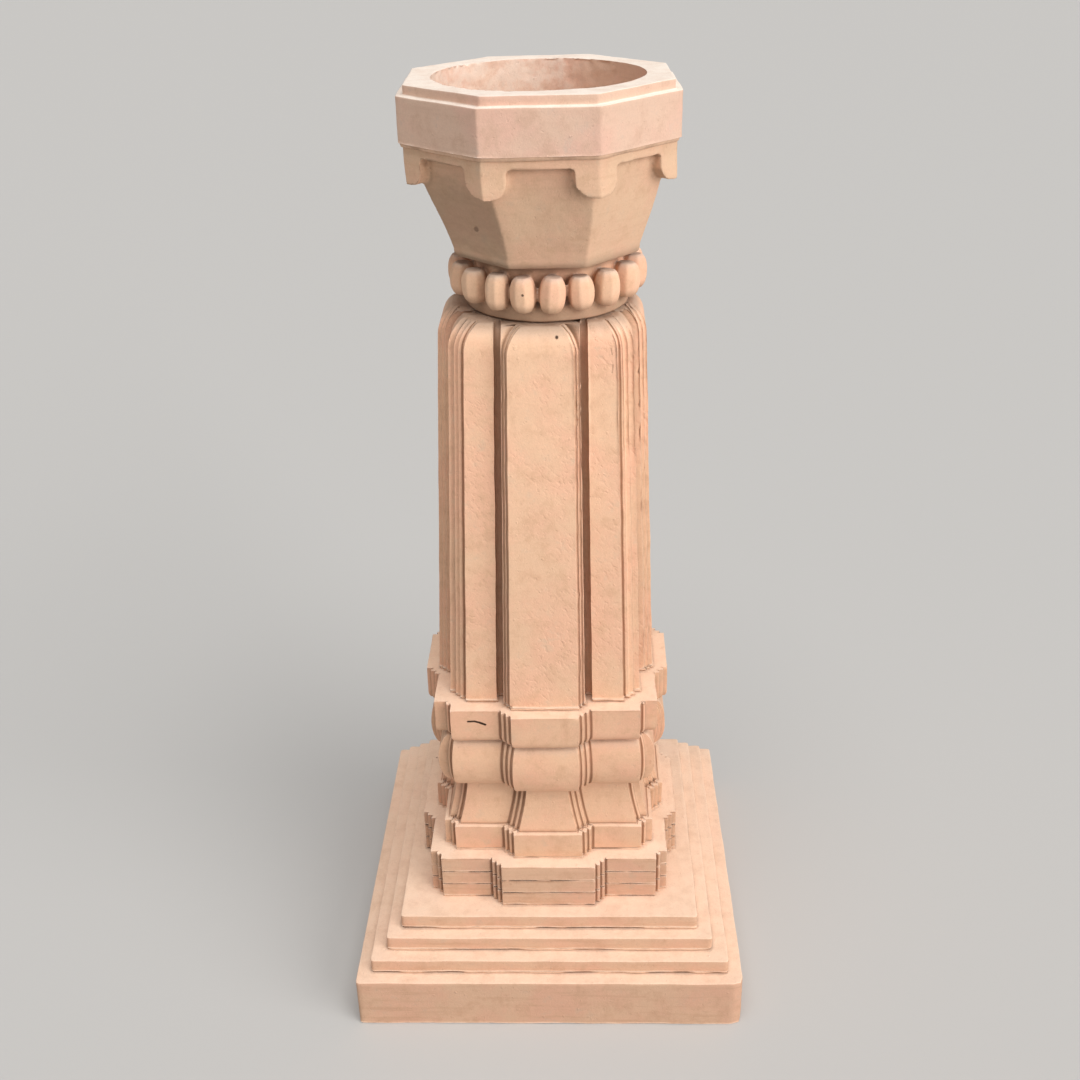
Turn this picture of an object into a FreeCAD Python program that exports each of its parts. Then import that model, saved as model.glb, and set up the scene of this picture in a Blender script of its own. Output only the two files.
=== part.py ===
import FreeCAD, Part
import Sketcher
import os
import sys

# A pedestal planter cut from sandstone courses, with an octagonal bowl that lifts off the top.
# Millimetres. The origin is the middle of the base slab's underside, +Z is up and -Y is the front.

doc = FreeCAD.newDocument("planter")

# Driving dimensions: name, value and what it measures

SIZES = (
    ("base_side", 400, "side of the square base slab"),
    ("plinth_rise", 57.5, "thickness of the base slab"),
    ("lower_step_side", 370.5, "side of the lower step slab"),
    ("middle_step_side", 339, "side of the middle step slab"),
    ("upper_step_side", 310, "side of the upper step slab"),
    ("step_rise", 15, "thickness of each step slab"),
    ("slab_rounding", 4, "worn rounding on the base slab's upright edges"),
    ("arris_rounding", 1.5, "worn rounding on the slabs' top edges"),
    ("joint_bed", 1.2, "thickness of a mortar bed"),
    ("bed_setback", 2.5, "how far a bed stops short of the stone above it"),
    ("reed_width", 4.9, "width of each reed beside a front panel"),
    ("reed_depth", 4.5, "how far each reed steps back"),
    ("foot_layer_rise", 15, "thickness of the lower two foot layers"),
    ("foot_top_rise", 17, "thickness of the top foot layer"),
    ("foot_reach", 138, "axis to the foot's front panel"),
    ("foot_panel_half", 49, "half width of the foot's front panel"),
    ("foot_side_half", 112.5, "half width over the foot's side panels"),
    ("skirt_rise", 76, "height of the skirt course"),
    ("skirt_plinth_rise", 29.4, "height of the upright part of the skirt course"),
    ("skirt_reach", 123, "axis to the skirt plinth's front panel"),
    ("skirt_panel_half", 36, "half width of the skirt plinth's front panel"),
    ("skirt_side_half", 97.7, "half width over the skirt plinth's side panels"),
    ("skirt_lip", 5.6, "width of the flat lip round the foot of the slope"),
    ("skirt_riser", 2, "height of the little riser behind the lip"),
    ("skirt_setback", 14, "how far the slope's top lies behind the plinth"),
    ("cushion_rise", 59, "height of the rounded cushion course"),
    ("cushion_reach", 125, "axis to the fattest line of the cushion's front panel"),
    ("cushion_panel_half", 34.5, "half width of the cushion's front panel"),
    ("cushion_side_half", 96.2, "half width over the cushion's side panels"),
    ("cushion_bulge", 15, "how far the cushion's roll swells out"),
    ("cushion_end_share", 0.27, "how far a front panel's ends swell, as a share of the roll"),
    ("ledge_rise", 39.4, "height of the ledge course"),
    ("ledge_reach", 125.7, "axis to the ledge's front panel"),
    ("ledge_panel_half", 34.3, "half width of the ledge's front panel"),
    ("ledge_side_half", 95.2, "half width over the ledge's side panels"),
    ("ledge_undercut", 6, "how far the ledge's lower edge is rounded in"),
    ("ledge_undercut_rise", 9, "height of that rounding"),
    ("shaft_rise", 384, "height of the shaft stone"),
    ("shaft_reach", 111, "axis to the shaft's front panel at its foot"),
    ("shaft_panel_half", 34.5, "half width of the shaft's front panel at its foot"),
    ("shaft_reed_width", 3.25, "width of each reed on the shaft at its foot"),
    ("shaft_reed_depth", 4, "how far each reed on the shaft steps back at its foot"),
    ("channel_width", 6, "width of the deep upright channel at the shaft's foot"),
    ("shaft_side_reach", 96, "axis to the face of the shaft's side panels at its foot"),
    ("shaft_side_half", 79, "half width over the shaft's side panels at its foot"),
    ("shaft_corner_reach", 89.7, "axis to the outer corner reed's face at the shaft's foot"),
    ("shaft_corner_half", 85, "half side of the shaft's corner square at its foot"),
    ("shaft_top_share", 0.86, "plan of the shaft's top as a share of its foot"),
    ("shoulder_radius", 30, "radius of the rounding under the shaft's top"),
    ("shoulder_rise", 24, "height that the rounding takes up"),
    ("neck_rise", 47.8, "height of the bead ring stone"),
    ("neck_core_radius", 78, "radius of the core behind the beads"),
    ("bead_ring_radius", 79, "axis to the middle of each bead"),
    ("bead_level", 26.8, "height of the beads' middles above the ring's underside"),
    ("bead_radius", 12.2, "radius of a bead at its fattest"),
    ("bead_end_radius", 7.5, "radius of a bead at its flat ends"),
    ("bead_rise", 30, "height of a bead"),
    ("bead_count", 18, "number of beads round the neck"),
    ("top_shift", 4, "how far the loose top sits off the column's axis"),
    ("top_turn", 1.4, "how far the loose top is turned, in degrees"),
    ("bowl_rise", 100.6, "height of the bowl stone"),
    ("bowl_foot_half", 79.5, "axis to a flat of the bowl's lower edge"),
    ("bowl_heel_half", 83, "axis to a flat just above the rounded lower edge"),
    ("bowl_heel_rise", 9, "height of the rounded lower edge"),
    ("bowl_waist_half", 90.5, "axis to a flat at the bowl's waist"),
    ("bowl_waist_rise", 31, "height of the waist above the bowl's underside"),
    ("bowl_belly_half", 103, "axis to a flat at the feet of the tongues"),
    ("bowl_belly_rise", 69, "height of that level above the bowl's underside"),
    ("bowl_chest_half", 108.5, "axis to a flat under the frieze"),
    ("frieze_half", 116.3, "axis to a flat of the frieze strip"),
    ("frieze_rise", 9.2, "height of the frieze strip"),
    ("tongue_drop", 24.3, "how far the corner tongues hang below the strip"),
    ("tongue_width", 21.4, "width of a tongue on each of its two faces"),
    ("tongue_corner", 15, "rounding of a tongue's lower corners"),
    ("tongue_fillet", 3, "rounding where a tongue leaves the strip"),
    ("rim_half", 119.9, "axis to a flat of the rim band"),
    ("rim_rise", 39.3, "height of the rim band"),
    ("cap_half", 113.7, "axis to a flat of the cap step"),
    ("cap_rise", 8.2, "height of the cap step"),
    ("mouth_radius", 92, "radius of the round mouth"),
    ("hollow_floor_radius", 58, "radius of the hollow's flat floor"),
    ("hollow_heel_radius", 72, "radius of the hollow where its wall starts to rise"),
    ("hollow_heel_rise", 14, "height of the sloping heel between floor and wall"),
    ("bowl_floor", 30, "thickness of stone under the hollow"),
    ("outlet_radius", 8, "radius of the bowl's drain hole"),
    ("tube_radius", 16, "outer radius of the drain tube"),
    ("tube_wall", 3, "wall of the drain tube"),
    ("tube_seat", 12, "height of the seat that the tube stands on"),
    ("tube_clearance", 0.8, "gap between tube and courses all round"),
    ("spigot_rise", 28, "how far the tube stands up out of the shaft"),
    ("spigot_clearance", 7, "room round the tube inside the loose top"),
    ("dowel_radius", 6, "radius of the steel dowels"),
    ("dowel_clearance", 0.5, "gap round a dowel"),
    ("step_dowel_offset", 128, "axis to the dowels that hold the steps"),
    ("step_dowel_depth", 30, "depth of those dowels in the base slab"),
    ("foot_dowel_offset", 92, "axis to the dowels that hold the foot layers"),
    ("foot_dowel_depth", 10, "depth of those dowels in the upper step"),
    ("skirt_dowel_depth", 25, "depth of the foot dowels in the skirt course"),
    ("cushion_dowel_offset", 78, "axis to the dowels that hold the cushion"),
    ("cushion_dowel_depth", 25, "depth of those dowels in the skirt course"),
    ("ledge_dowel_depth", 20, "depth of the cushion dowels in the ledge course"),
    ("shaft_dowel_offset", 60, "axis to the dowels that hold the shaft"),
    ("shaft_dowel_depth", 25, "depth of those dowels in the ledge course"),
    ("shaft_socket_depth", 50, "depth of those dowels in the shaft"),
    ("cut_overrun", 5, "how far a cut runs past the face it opens"),
)

sheet = doc.addObject("Spreadsheet::Sheet", "Sizes")
for row, (alias, size, meaning) in enumerate(SIZES, start=1):
    sheet.set("A%d" % row, alias)
    sheet.set("B%d" % row, str(size))
    sheet.set("C%d" % row, meaning)
    sheet.setAlias("B%d" % row, alias)
doc.recompute()

# Shares of the sizes above that give the curved profiles their in-between sections
SKIRT_SLOPE_SHARES = ((0, 0), (0.25, 0.36), (0.6, 0.74), (1, 1))
CUSHION_TURN_SHARES = (-1, -0.78, -0.5, 0, 0.5, 0.78, 1)
SHOULDER_TURN_SHARES = (0, 0.25, 0.5, 0.75, 1)
LEDGE_TURN_SHARES = (0, 0.3, 0.65, 1)
HEEL_TURN_SHARES = (0, 0.35, 0.7, 1)

# Angles in degrees
CUSHION_HALF_TURN = 78
HALF_FACE_TURN = 22.5
FULL_TURN = 360

# Counts: sides of the column, faces of the bowl, reeds beside each front panel
SIDES = 4
FACES = 8
REEDS = 2


def size(name):
    """One cell of the sheet, as an expression."""
    return "Sizes." + name


def total(*terms):
    """A sum of expressions."""
    return "(" + " + ".join(terms) + ")"


def less(first, *others):
    """One expression less some others."""
    return "(" + " - ".join((first,) + others) + ")"


def number(expression):
    """What an expression comes to with the sheet's present cells."""
    if expression == "0":
        return 0.0
    return float(sheet.evalExpression(expression))


def origin_feature(body, role):
    """One of a body's own origin planes or axes."""
    return next(item for item in body.Origin.OriginFeatures if item.Role == role)


def new_body(name, level="0", loose=False):
    """An empty body standing at a level; a loose one has the top's small shift and turn."""
    body = doc.addObject("PartDesign::Body", name)
    body.Label = name
    if level != "0":
        body.setExpression("Placement.Base.z", level)
    if loose:
        body.setExpression("Placement.Base.x", size("top_shift"))
        body.setExpression("Placement.Rotation.Angle", size("top_turn"))
    return body


def new_sketch(body, name, role, level="0", along="0"):
    """An empty sketch on one of the body's planes, moved along its normal and its own x."""
    sketch = body.newObject("Sketcher::SketchObject", name)
    sketch.AttachmentSupport = (origin_feature(body, role), [""])
    sketch.MapMode = "FlatFace"
    if level != "0":
        sketch.setExpression(".AttachmentOffset.Base.z", level)
    if along != "0":
        sketch.setExpression(".AttachmentOffset.Base.x", along)
    return sketch


def bind(sketch, kind, first, second, expression):
    """A horizontal or vertical distance, bound to an expression."""
    value = number(expression)
    if value < 0:
        first, second = second, first
        expression = "-(" + expression + ")"
    index = sketch.addConstraint(Sketcher.Constraint(kind, *first, *second, abs(value)))
    sketch.setExpression("Constraints[%d]" % index, expression)


def fix_point(sketch, edge, end, x, y):
    """Places one end of an edge from the sketch's origin."""
    for kind, expression, axis in (("DistanceX", x, -2), ("DistanceY", y, -1)):
        if expression == "0":
            sketch.addConstraint(Sketcher.Constraint("PointOnObject", edge, end, axis))
        else:
            bind(sketch, kind, (-1, 1), (edge, end), expression)


def add_outline(sketch, corners):
    """Draws a closed outline of straight lines through corners."""
    count = len(corners)
    points = [FreeCAD.Vector(number(x), number(y), 0) for x, y in corners]
    sides = [Part.LineSegment(points[i], points[(i + 1) % count]) for i in range(count)]
    sketch.addGeometry(sides, False)
    for i in range(count):
        sketch.addConstraint(Sketcher.Constraint("Coincident", i, 2, (i + 1) % count, 1))


def draw_outline(sketch, places, edges):
    """A closed outline: places are named corners, and each edge runs between two of them.
    An edge with a radius is an arc that turns anticlockwise from its first corner to its second."""
    ends = {}
    for index, (first, second, radius) in enumerate(edges):
        start, finish = (FreeCAD.Vector(number(places[name][0]), number(places[name][1]), 0)
                         for name in (first, second))
        if radius is None:
            sketch.addGeometry(Part.LineSegment(start, finish), False)
        else:
            chord = finish - start
            leftward = FreeCAD.Vector(-chord.y, chord.x, 0).normalize()
            half_chord = chord.Length / 2
            apothem = (number(radius) ** 2 - half_chord ** 2) ** 0.5
            middle = (start + finish) / 2 + leftward * (apothem - number(radius))
            sketch.addGeometry(Part.Arc(start, middle, finish), False)
            bound = sketch.addConstraint(Sketcher.Constraint("Radius", index, number(radius)))
            sketch.setExpression("Constraints[%d]" % bound, radius)
        ends.setdefault(first, []).append((index, 1))
        ends.setdefault(second, []).append((index, 2))
    for name, (one, other) in ends.items():
        sketch.addConstraint(Sketcher.Constraint("Coincident", *one, *other))
        fix_point(sketch, *one, *places[name])


def draw_polygon(sketch, corners):
    """A closed outline of straight edges through corners."""
    places = dict(enumerate(corners))
    count = len(corners)
    draw_outline(sketch, places, [(i, (i + 1) % count, None) for i in range(count)])


def draw_half_plan(sketch, corners):
    """A closed outline that is alike left and right; corners are those of its right half."""
    count = len(corners)
    mirrored = [("-(" + x + ")", y) for x, y in reversed(corners)]
    add_outline(sketch, list(corners) + mirrored)
    for i, (x, y) in enumerate(corners):
        fix_point(sketch, i, 1, x, y)
        twin = 2 * count - 1 - i
        sketch.addConstraint(Sketcher.Constraint("Symmetric", i, 1, twin, 1, -2))


def draw_circles(sketch, radius, centres):
    """Circles of one radius at places given by expressions."""
    for x, y in centres:
        middle = FreeCAD.Vector(number(x), number(y), 0)
        circle = sketch.addGeometry(Part.Circle(middle, FreeCAD.Vector(0, 0, 1), number(radius)), False)
        index = sketch.addConstraint(Sketcher.Constraint("Radius", circle, number(radius)))
        sketch.setExpression("Constraints[%d]" % index, radius)
        fix_point(sketch, circle, 3, x, y)


def pad(body, name, sketch, length):
    """Raises a sketch by a length."""
    feature = body.newObject("PartDesign::Pad", name)
    feature.Profile = sketch
    feature.setExpression("Length", length)
    return feature


def loft(body, name, sections, ruled):
    """Joins sections into a solid."""
    feature = body.newObject("PartDesign::AdditiveLoft", name)
    feature.Profile = sections[0]
    feature.Sections = sections[1:]
    feature.Ruled = ruled
    return feature


def around(body, name, features, count, angle=FULL_TURN):
    """Repeats features evenly round the upright axis."""
    pattern = body.newObject("PartDesign::PolarPattern", name)
    pattern.Originals = features
    pattern.Axis = (origin_feature(body, "Z_Axis"), [""])
    pattern.Angle = angle
    if isinstance(count, str):
        pattern.setExpression("Occurrences", count)
    else:
        pattern.Occurrences = count
    body.Tip = pattern
    return pattern


def bore(body, name, radius, centres, level, depth, upward):
    """Cuts round holes from a level, upwards or downwards, and checks that stone was removed."""
    doc.recompute()
    before = body.Shape.Volume
    sketch = new_sketch(body, name + "_circles", "XY_Plane", level)
    draw_circles(sketch, radius, centres)
    feature = body.newObject("PartDesign::Pocket", name)
    feature.Profile = sketch
    feature.setExpression("Length", depth)
    feature.Reversed = upward
    body.Tip = feature
    doc.recompute()
    if not body.Shape.Volume < before:
        sys.exit(name + " cut nothing")
    return feature


def pair_on_x(offset):
    return ((size(offset), "0"), ("-" + size(offset), "0"))


def pair_on_y(offset):
    return (("0", size(offset)), ("0", "-" + size(offset)))


# Levels, from the ground up: each stone stands on a bed on the stone below
BED = size("joint_bed")
LEVEL = {}
TOP = {}
STACK = (
    ("plinth_slab", "plinth_rise", True),
    ("lower_step_slab", "step_rise", True),
    ("middle_step_slab", "step_rise", True),
    ("upper_step_slab", "step_rise", True),
    ("foot_lower_layer", "foot_layer_rise", True),
    ("foot_middle_layer", "foot_layer_rise", True),
    ("foot_upper_layer", "foot_top_rise", True),
    ("skirt_course", "skirt_rise", True),
    ("cushion_course", "cushion_rise", True),
    ("ledge_course", "ledge_rise", True),
    ("shaft", "shaft_rise", False),
    ("bead_ring", "neck_rise", True),
    ("bowl", "bowl_rise", True),
    ("rim_ring", "rim_rise", False),
)
rises = []
for stone, rise, bedded in STACK:
    LEVEL[stone] = total(*rises) if rises else "0"
    rises.append(size(rise))
    TOP[stone] = total(*rises)
    if bedded:
        rises.append(BED)

TUBE_BORE = total(size("tube_radius"), size("tube_clearance"))
DOWEL_BORE = total(size("dowel_radius"), size("dowel_clearance"))
AXIS = (("0", "0"),)


def tube_bore(body, rise):
    """The hole down the middle of a course, for the drain tube."""
    bore(body, body.Name + "_tube_bore", TUBE_BORE, AXIS, "0", rise, True)


def round_edges(body, name, feature, upright, radius):
    """Wears down a block's upright edges, or the edges of its top face."""
    doc.recompute()
    top = feature.Shape.BoundBox.ZMax
    chosen = []
    for index, edge in enumerate(feature.Shape.Edges, start=1):
        box = edge.BoundBox
        is_upright = box.ZLength > box.XLength + box.YLength
        on_top = abs(box.ZMin - top) < box.DiagonalLength * sys.float_info.epsilon ** 0.5
        if is_upright == upright and (upright or on_top):
            chosen.append("Edge%d" % index)
    fillet = body.newObject("PartDesign::Fillet", name)
    fillet.Base = (feature, chosen)
    fillet.setExpression("Radius", radius)
    body.Tip = fillet
    doc.recompute()
    return fillet


# Square slabs

def square_slab(name, side, rise):
    """A square slab with worn upright and top edges."""
    body = new_body(name, LEVEL[name])
    half = "(" + size(side) + " / 2)"
    sketch = new_sketch(body, name + "_plan", "XY_Plane")
    draw_half_plan(sketch, ((half, half), (half, "-" + half)))
    block = pad(body, name + "_block", sketch, size(rise))
    worn = round_edges(body, name + "_corners", block, True, size("slab_rounding"))
    round_edges(body, name + "_arris", worn, False, size("arris_rounding"))
    return body


def bed(name, above, corners):
    """A thin mortar bed under the stone above, a little behind its faces, with room for the tube."""
    body = new_body(name, less(LEVEL[above], BED))
    sketch = new_sketch(body, name + "_plan", "XY_Plane")
    draw_half_plan(sketch, corners)
    sheet_of_mortar = pad(body, name + "_sheet", sketch, BED)
    if len(corners) > 2:
        around(body, name + "_sides", [sheet_of_mortar], SIDES)
    else:
        body.Tip = sheet_of_mortar
    return body


def square_bed(name, above, side):
    half = "(" + size(side) + " / 2 - " + size("bed_setback") + ")"
    body = bed(name, above, ((half, half), (half, "-" + half)))
    tube_bore(body, BED)
    return body


plinth = square_slab("plinth_slab", "base_side", "plinth_rise")
bore(plinth, "outlet_hole", less(size("tube_radius"), size("tube_wall")), AXIS, "0",
     size("plinth_rise"), True)
bore(plinth, "tube_socket", TUBE_BORE, AXIS, size("plinth_rise"),
     less(size("plinth_rise"), size("tube_seat")), False)
bore(plinth, "step_dowel_sockets", DOWEL_BORE, pair_on_x("step_dowel_offset"), size("plinth_rise"),
     size("step_dowel_depth"), False)

STEPS = (
    ("lower_step_slab", "lower_step_side", "step_bed_lower"),
    ("middle_step_slab", "middle_step_side", "step_bed_middle"),
    ("upper_step_slab", "upper_step_side", "step_bed_upper"),
)
for name, side, bed_name in STEPS:
    slab = square_slab(name, side, "step_rise")
    tube_bore(slab, size("step_rise"))
    bore(slab, name + "_dowel_holes", DOWEL_BORE, pair_on_x("step_dowel_offset"), "0",
         size("step_rise"), True)
    mortar = square_bed(bed_name, name, side)
    bore(mortar, bed_name + "_dowel_holes", DOWEL_BORE, pair_on_x("step_dowel_offset"), "0", BED, True)
    if name == "upper_step_slab":
        bore(slab, "foot_dowel_sockets", DOWEL_BORE, pair_on_y("foot_dowel_offset"),
             size("step_rise"), size("foot_dowel_depth"), False)

# Courses with the stepped plan: a front panel, two reeds, a side panel and a corner reed,
# the same on all four sides. Every face of a section steps back by the same inset, but the
# ends of the front panel and its reeds can have one of their own.


def course_plan(prefix, inset="0", end_inset=None):
    """The right half of the front's outline, from the front panel round to the corner square."""
    back = "" if inset == "0" else " - " + inset
    end_back = back if end_inset is None else " - " + end_inset
    reach = size(prefix + "_reach")
    panel = size(prefix + "_panel_half")
    side = size(prefix + "_side_half")
    width = size("reed_width")
    depth = size("reed_depth")
    corners = []
    for reeds in range(REEDS + 1):
        x = "(" + panel + " + %d * " % reeds + width + end_back + ")"
        y = "(" + reach + " - %d * " % reeds + depth + back + ")"
        lower = "(" + reach + " - %d * " % (reeds + 1) + depth + back + ")"
        corners += [(x, y), (x, lower)]
    side_x = "(" + side + back + ")"
    square = "(" + side + " + " + width + back + ")"
    corners += [(side_x, lower), (side_x, square), (square, square), (square, "0")]
    return corners


def section(body, name, level, corners):
    sketch = new_sketch(body, name, "XY_Plane", level)
    draw_half_plan(sketch, corners)
    return sketch


def course(name, prefix, profiles, dowels=()):
    """A course from profiles: runs of levels, each with one or two insets, each run one loft,
    straight or curved."""
    body = new_body(name, LEVEL[name])
    runs = []
    for run, (ruled, profile) in enumerate(profiles):
        sections = []
        for step, (level, *insets) in enumerate(profile):
            label = "%s_section_%d_%d" % (name, run, step)
            sections.append(section(body, label, level, course_plan(prefix, *insets)))
        runs.append(loft(body, "%s_run_%d" % (name, run), sections, ruled))
    around(body, name + "_sides", runs, SIDES)
    rise = dict((stone, size(stone_rise)) for stone, stone_rise, bedded in STACK)[name]
    tube_bore(body, rise)
    for index, (pairs, level, depth, upward) in enumerate(dowels):
        bore(body, "%s_dowel_holes_%d" % (name, index), DOWEL_BORE, pairs, level, depth, upward)
    return body


def stepped_bed(name, above, prefix, insets, dowel_offset, on_x):
    """A bed with the stepped plan, behind the faces of the stones that it joins."""
    setbacks = [total(inset, size("bed_setback")) for inset in insets]
    body = bed(name, above, course_plan(prefix, *setbacks))
    tube_bore(body, BED)
    pairs = pair_on_x(dowel_offset) if on_x else pair_on_y(dowel_offset)
    bore(body, name + "_dowel_holes", DOWEL_BORE, pairs, "0", BED, True)
    return body


FLUSH = ("0",)
FOOT_DOWELS = pair_on_y("foot_dowel_offset")
for name, rise in (("foot_lower_layer", "foot_layer_rise"), ("foot_middle_layer", "foot_layer_rise"),
                   ("foot_upper_layer", "foot_top_rise")):
    course(name, "foot", ((True, (("0", "0"), (size(rise), "0"))),),
           ((FOOT_DOWELS, "0", size(rise), True),))
stepped_bed("foot_bed_lower", "foot_lower_layer", "foot", FLUSH, "foot_dowel_offset", False)
stepped_bed("foot_bed_middle", "foot_middle_layer", "foot", FLUSH, "foot_dowel_offset", False)
stepped_bed("foot_bed_upper", "foot_upper_layer", "foot", FLUSH, "foot_dowel_offset", False)

# Skirt: an upright plinth, a flat lip, a little riser and a hollow slope
slope_start = total(size("skirt_plinth_rise"), size("skirt_riser"))
slope_rise = less(size("skirt_rise"), slope_start)
slope_depth = less(size("skirt_setback"), size("skirt_lip"))
skirt_slope = []
for rise_share, depth_share in SKIRT_SLOPE_SHARES:
    skirt_slope.append((
        total(slope_start, "%g * %s" % (rise_share, slope_rise)),
        total(size("skirt_lip"), "%g * %s" % (depth_share, slope_depth))))
course("skirt_course", "skirt", (
    (True, (("0", "0"), (size("skirt_plinth_rise"), "0"))),
    (True, ((size("skirt_plinth_rise"), size("skirt_lip")), (slope_start, size("skirt_lip")))),
    (False, skirt_slope),
), (
    (FOOT_DOWELS, "0", size("skirt_dowel_depth"), True),
    (pair_on_x("cushion_dowel_offset"), size("skirt_rise"), size("cushion_dowel_depth"), False),
))
stepped_bed("skirt_bed", "skirt_course", "skirt", FLUSH, "foot_dowel_offset", False)

# Cushion: the face follows part of an ellipse, and the ends of each panel follow it less
bulge_scale = "(1 - cos(%g))" % CUSHION_HALF_TURN
height_scale = "sin(%g)" % CUSHION_HALF_TURN
cushion_profile = []
for turn_share in CUSHION_TURN_SHARES:
    turn = turn_share * CUSHION_HALF_TURN
    level = "(%s / 2 * (1 + sin(%g) / %s))" % (size("cushion_rise"), turn, height_scale)
    inset = "(%s * (1 - cos(%g)) / %s)" % (size("cushion_bulge"), turn, bulge_scale)
    cushion_profile.append((level, inset, "(%s * %s)" % (size("cushion_end_share"), inset)))
course("cushion_course", "cushion", ((False, cushion_profile),), (
    (pair_on_x("cushion_dowel_offset"), "0", size("cushion_rise"), True),
))
stepped_bed("cushion_bed", "cushion_course", "cushion", cushion_profile[0][1:],
            "cushion_dowel_offset", True)

# Ledge: a crisp band whose lower edge is rounded in
ledge_profile = []
for turn_share in LEDGE_TURN_SHARES:
    turn = turn_share * FULL_TURN / SIDES
    level = "(%s * sin(%g))" % (size("ledge_undercut_rise"), turn)
    inset = "(%s * (1 - sin(%g)))" % (size("ledge_undercut"), turn)
    if turn_share == 0:
        level = "0"
    ledge_profile.append((level, inset))
course("ledge_course", "ledge", (
    (False, ledge_profile),
    (True, ((size("ledge_undercut_rise"), "0"), (size("ledge_rise"), "0"))),
), (
    (pair_on_x("cushion_dowel_offset"), "0", size("ledge_dowel_depth"), True),
    (pair_on_y("shaft_dowel_offset"), size("ledge_rise"), size("shaft_dowel_depth"), False),
))
stepped_bed("ledge_bed", "ledge_course", "cushion", cushion_profile[-1][1:],
            "cushion_dowel_offset", True)

# Shaft: the plan shrinks steadily upwards, then every face but the channels' walls rounds in
# under the top


def shaft_plan(scale, inset="0", wall_inset="0"):
    """The right half of the shaft's front outline at some height."""
    def inward(*terms):
        return "((%s) * %s - %s)" % (" + ".join(terms), scale, inset)

    panel = size("shaft_panel_half")
    reach = size("shaft_reach")
    width = size("shaft_reed_width")
    depth = size("shaft_reed_depth")
    channel = size("channel_width")
    floor = inward(size("shaft_corner_half"))
    reed_x = "((%s + 2 * %s) * %s - %s)" % (panel, width, scale, wall_inset)
    far_x = "((%s + 2 * %s + %s) * %s + %s)" % (panel, width, channel, scale, wall_inset)
    face = inward(size("shaft_side_reach"))
    side_x = inward(size("shaft_side_half"))
    corner_y = inward(size("shaft_corner_reach"))
    return [
        (inward(panel), inward(reach)),
        (inward(panel), inward(reach, "-1 * " + depth)),
        (inward(panel, width), inward(reach, "-1 * " + depth)),
        (inward(panel, width), inward(reach, "-2 * " + depth)),
        (reed_x, inward(reach, "-2 * " + depth)),
        (reed_x, floor),
        (far_x, floor),
        (far_x, face),
        (side_x, face),
        (side_x, corner_y),
        (floor, corner_y),
        (floor, "0"),
    ]


def shaft_scale(level):
    """The plan's scale at a level of the shaft."""
    return "(1 - (1 - %s) * %s / %s)" % (size("shaft_top_share"), level, size("shaft_rise"))


shaft = new_body("shaft", LEVEL["shaft"])
shoulder_start = less(size("shaft_rise"), size("shoulder_rise"))
foot_section = section(shaft, "shaft_foot", "0", shaft_plan("1"))
neck_section = section(shaft, "shaft_neck", shoulder_start, shaft_plan(shaft_scale(shoulder_start)))
shaft_run = loft(shaft, "shaft_pier", [foot_section, neck_section], True)
shoulder_turn = "asin(%s / %s)" % (size("shoulder_rise"), size("shoulder_radius"))
shoulder_sections = []
for step, turn_share in enumerate(SHOULDER_TURN_SHARES):
    turn = "(%g * %s)" % (turn_share, shoulder_turn)
    level = "(%s + %s * sin(%s))" % (shoulder_start, size("shoulder_radius"), turn)
    inset = "(%s * (1 - cos(%s)))" % (size("shoulder_radius"), turn)
    shoulder_sections.append(section(shaft, "shoulder_%d" % step, level,
                                     shaft_plan(shaft_scale(level), inset)))
shoulder_run = loft(shaft, "shaft_shoulder", shoulder_sections, False)
around(shaft, "shaft_sides", [shaft_run, shoulder_run], SIDES)
tube_bore(shaft, size("shaft_rise"))
bore(shaft, "shaft_dowel_sockets", DOWEL_BORE, pair_on_y("shaft_dowel_offset"), "0",
     size("shaft_socket_depth"), True)

shaft_bed = bed("shaft_bed", "shaft", shaft_plan("1", size("bed_setback"), size("bed_setback")))
tube_bore(shaft_bed, BED)
bore(shaft_bed, "shaft_bed_dowel_holes", DOWEL_BORE, pair_on_y("shaft_dowel_offset"), "0", BED, True)

# Bead ring: a round core with barrel beads set into it, part of the loose top.
# Its bore is wide enough for the tube with the top off centre.
SOCKET_BORE = total(size("tube_radius"), size("spigot_clearance"))

ring = new_body("bead_ring", LEVEL["bead_ring"], loose=True)
core_sketch = new_sketch(ring, "neck_core_circle", "XY_Plane")
draw_circles(core_sketch, size("neck_core_radius"), AXIS)
core = pad(ring, "neck_core", core_sketch, size("neck_rise"))

half_bead = "(" + size("bead_rise") + " / 2)"
bead_sag = less(size("bead_radius"), size("bead_end_radius"))
bead_arc = "((%s * %s + %s * %s) / (2 * %s))" % (half_bead, half_bead, bead_sag, bead_sag, bead_sag)
bead_sketch = new_sketch(ring, "bead_profile", "YZ_Plane", along=size("bead_ring_radius"))
bead_sketch.setExpression(".AttachmentOffset.Base.y", size("bead_level"))
draw_outline(bead_sketch, {
    "axis_low": ("0", "-" + half_bead),
    "low": (size("bead_end_radius"), "-" + half_bead),
    "high": (size("bead_end_radius"), half_bead),
    "axis_high": ("0", half_bead),
}, (
    ("axis_low", "low", None),
    ("low", "high", bead_arc),
    ("high", "axis_high", None),
    ("axis_high", "axis_low", None),
))
bead = ring.newObject("PartDesign::Revolution", "bead")
bead.Profile = bead_sketch
bead.ReferenceAxis = (bead_sketch, ["V_Axis"])
bead.Angle = FULL_TURN
around(ring, "beads", [bead], size("bead_count"))
bore(ring, "spigot_socket", SOCKET_BORE, AXIS, "0", size("neck_rise"), True)

# Bowl and rim: octagons with a flat to the front


def octagon(body, name, level, half):
    """An octagon with flats at a given distance from the axis."""
    sketch = new_sketch(body, name, "XY_Plane", level)
    side = "(%s * tan(%g))" % (half, HALF_FACE_TURN)
    draw_half_plan(sketch, ((side, half), (half, side), (half, "-" + side), (side, "-" + half)))
    return sketch


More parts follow.
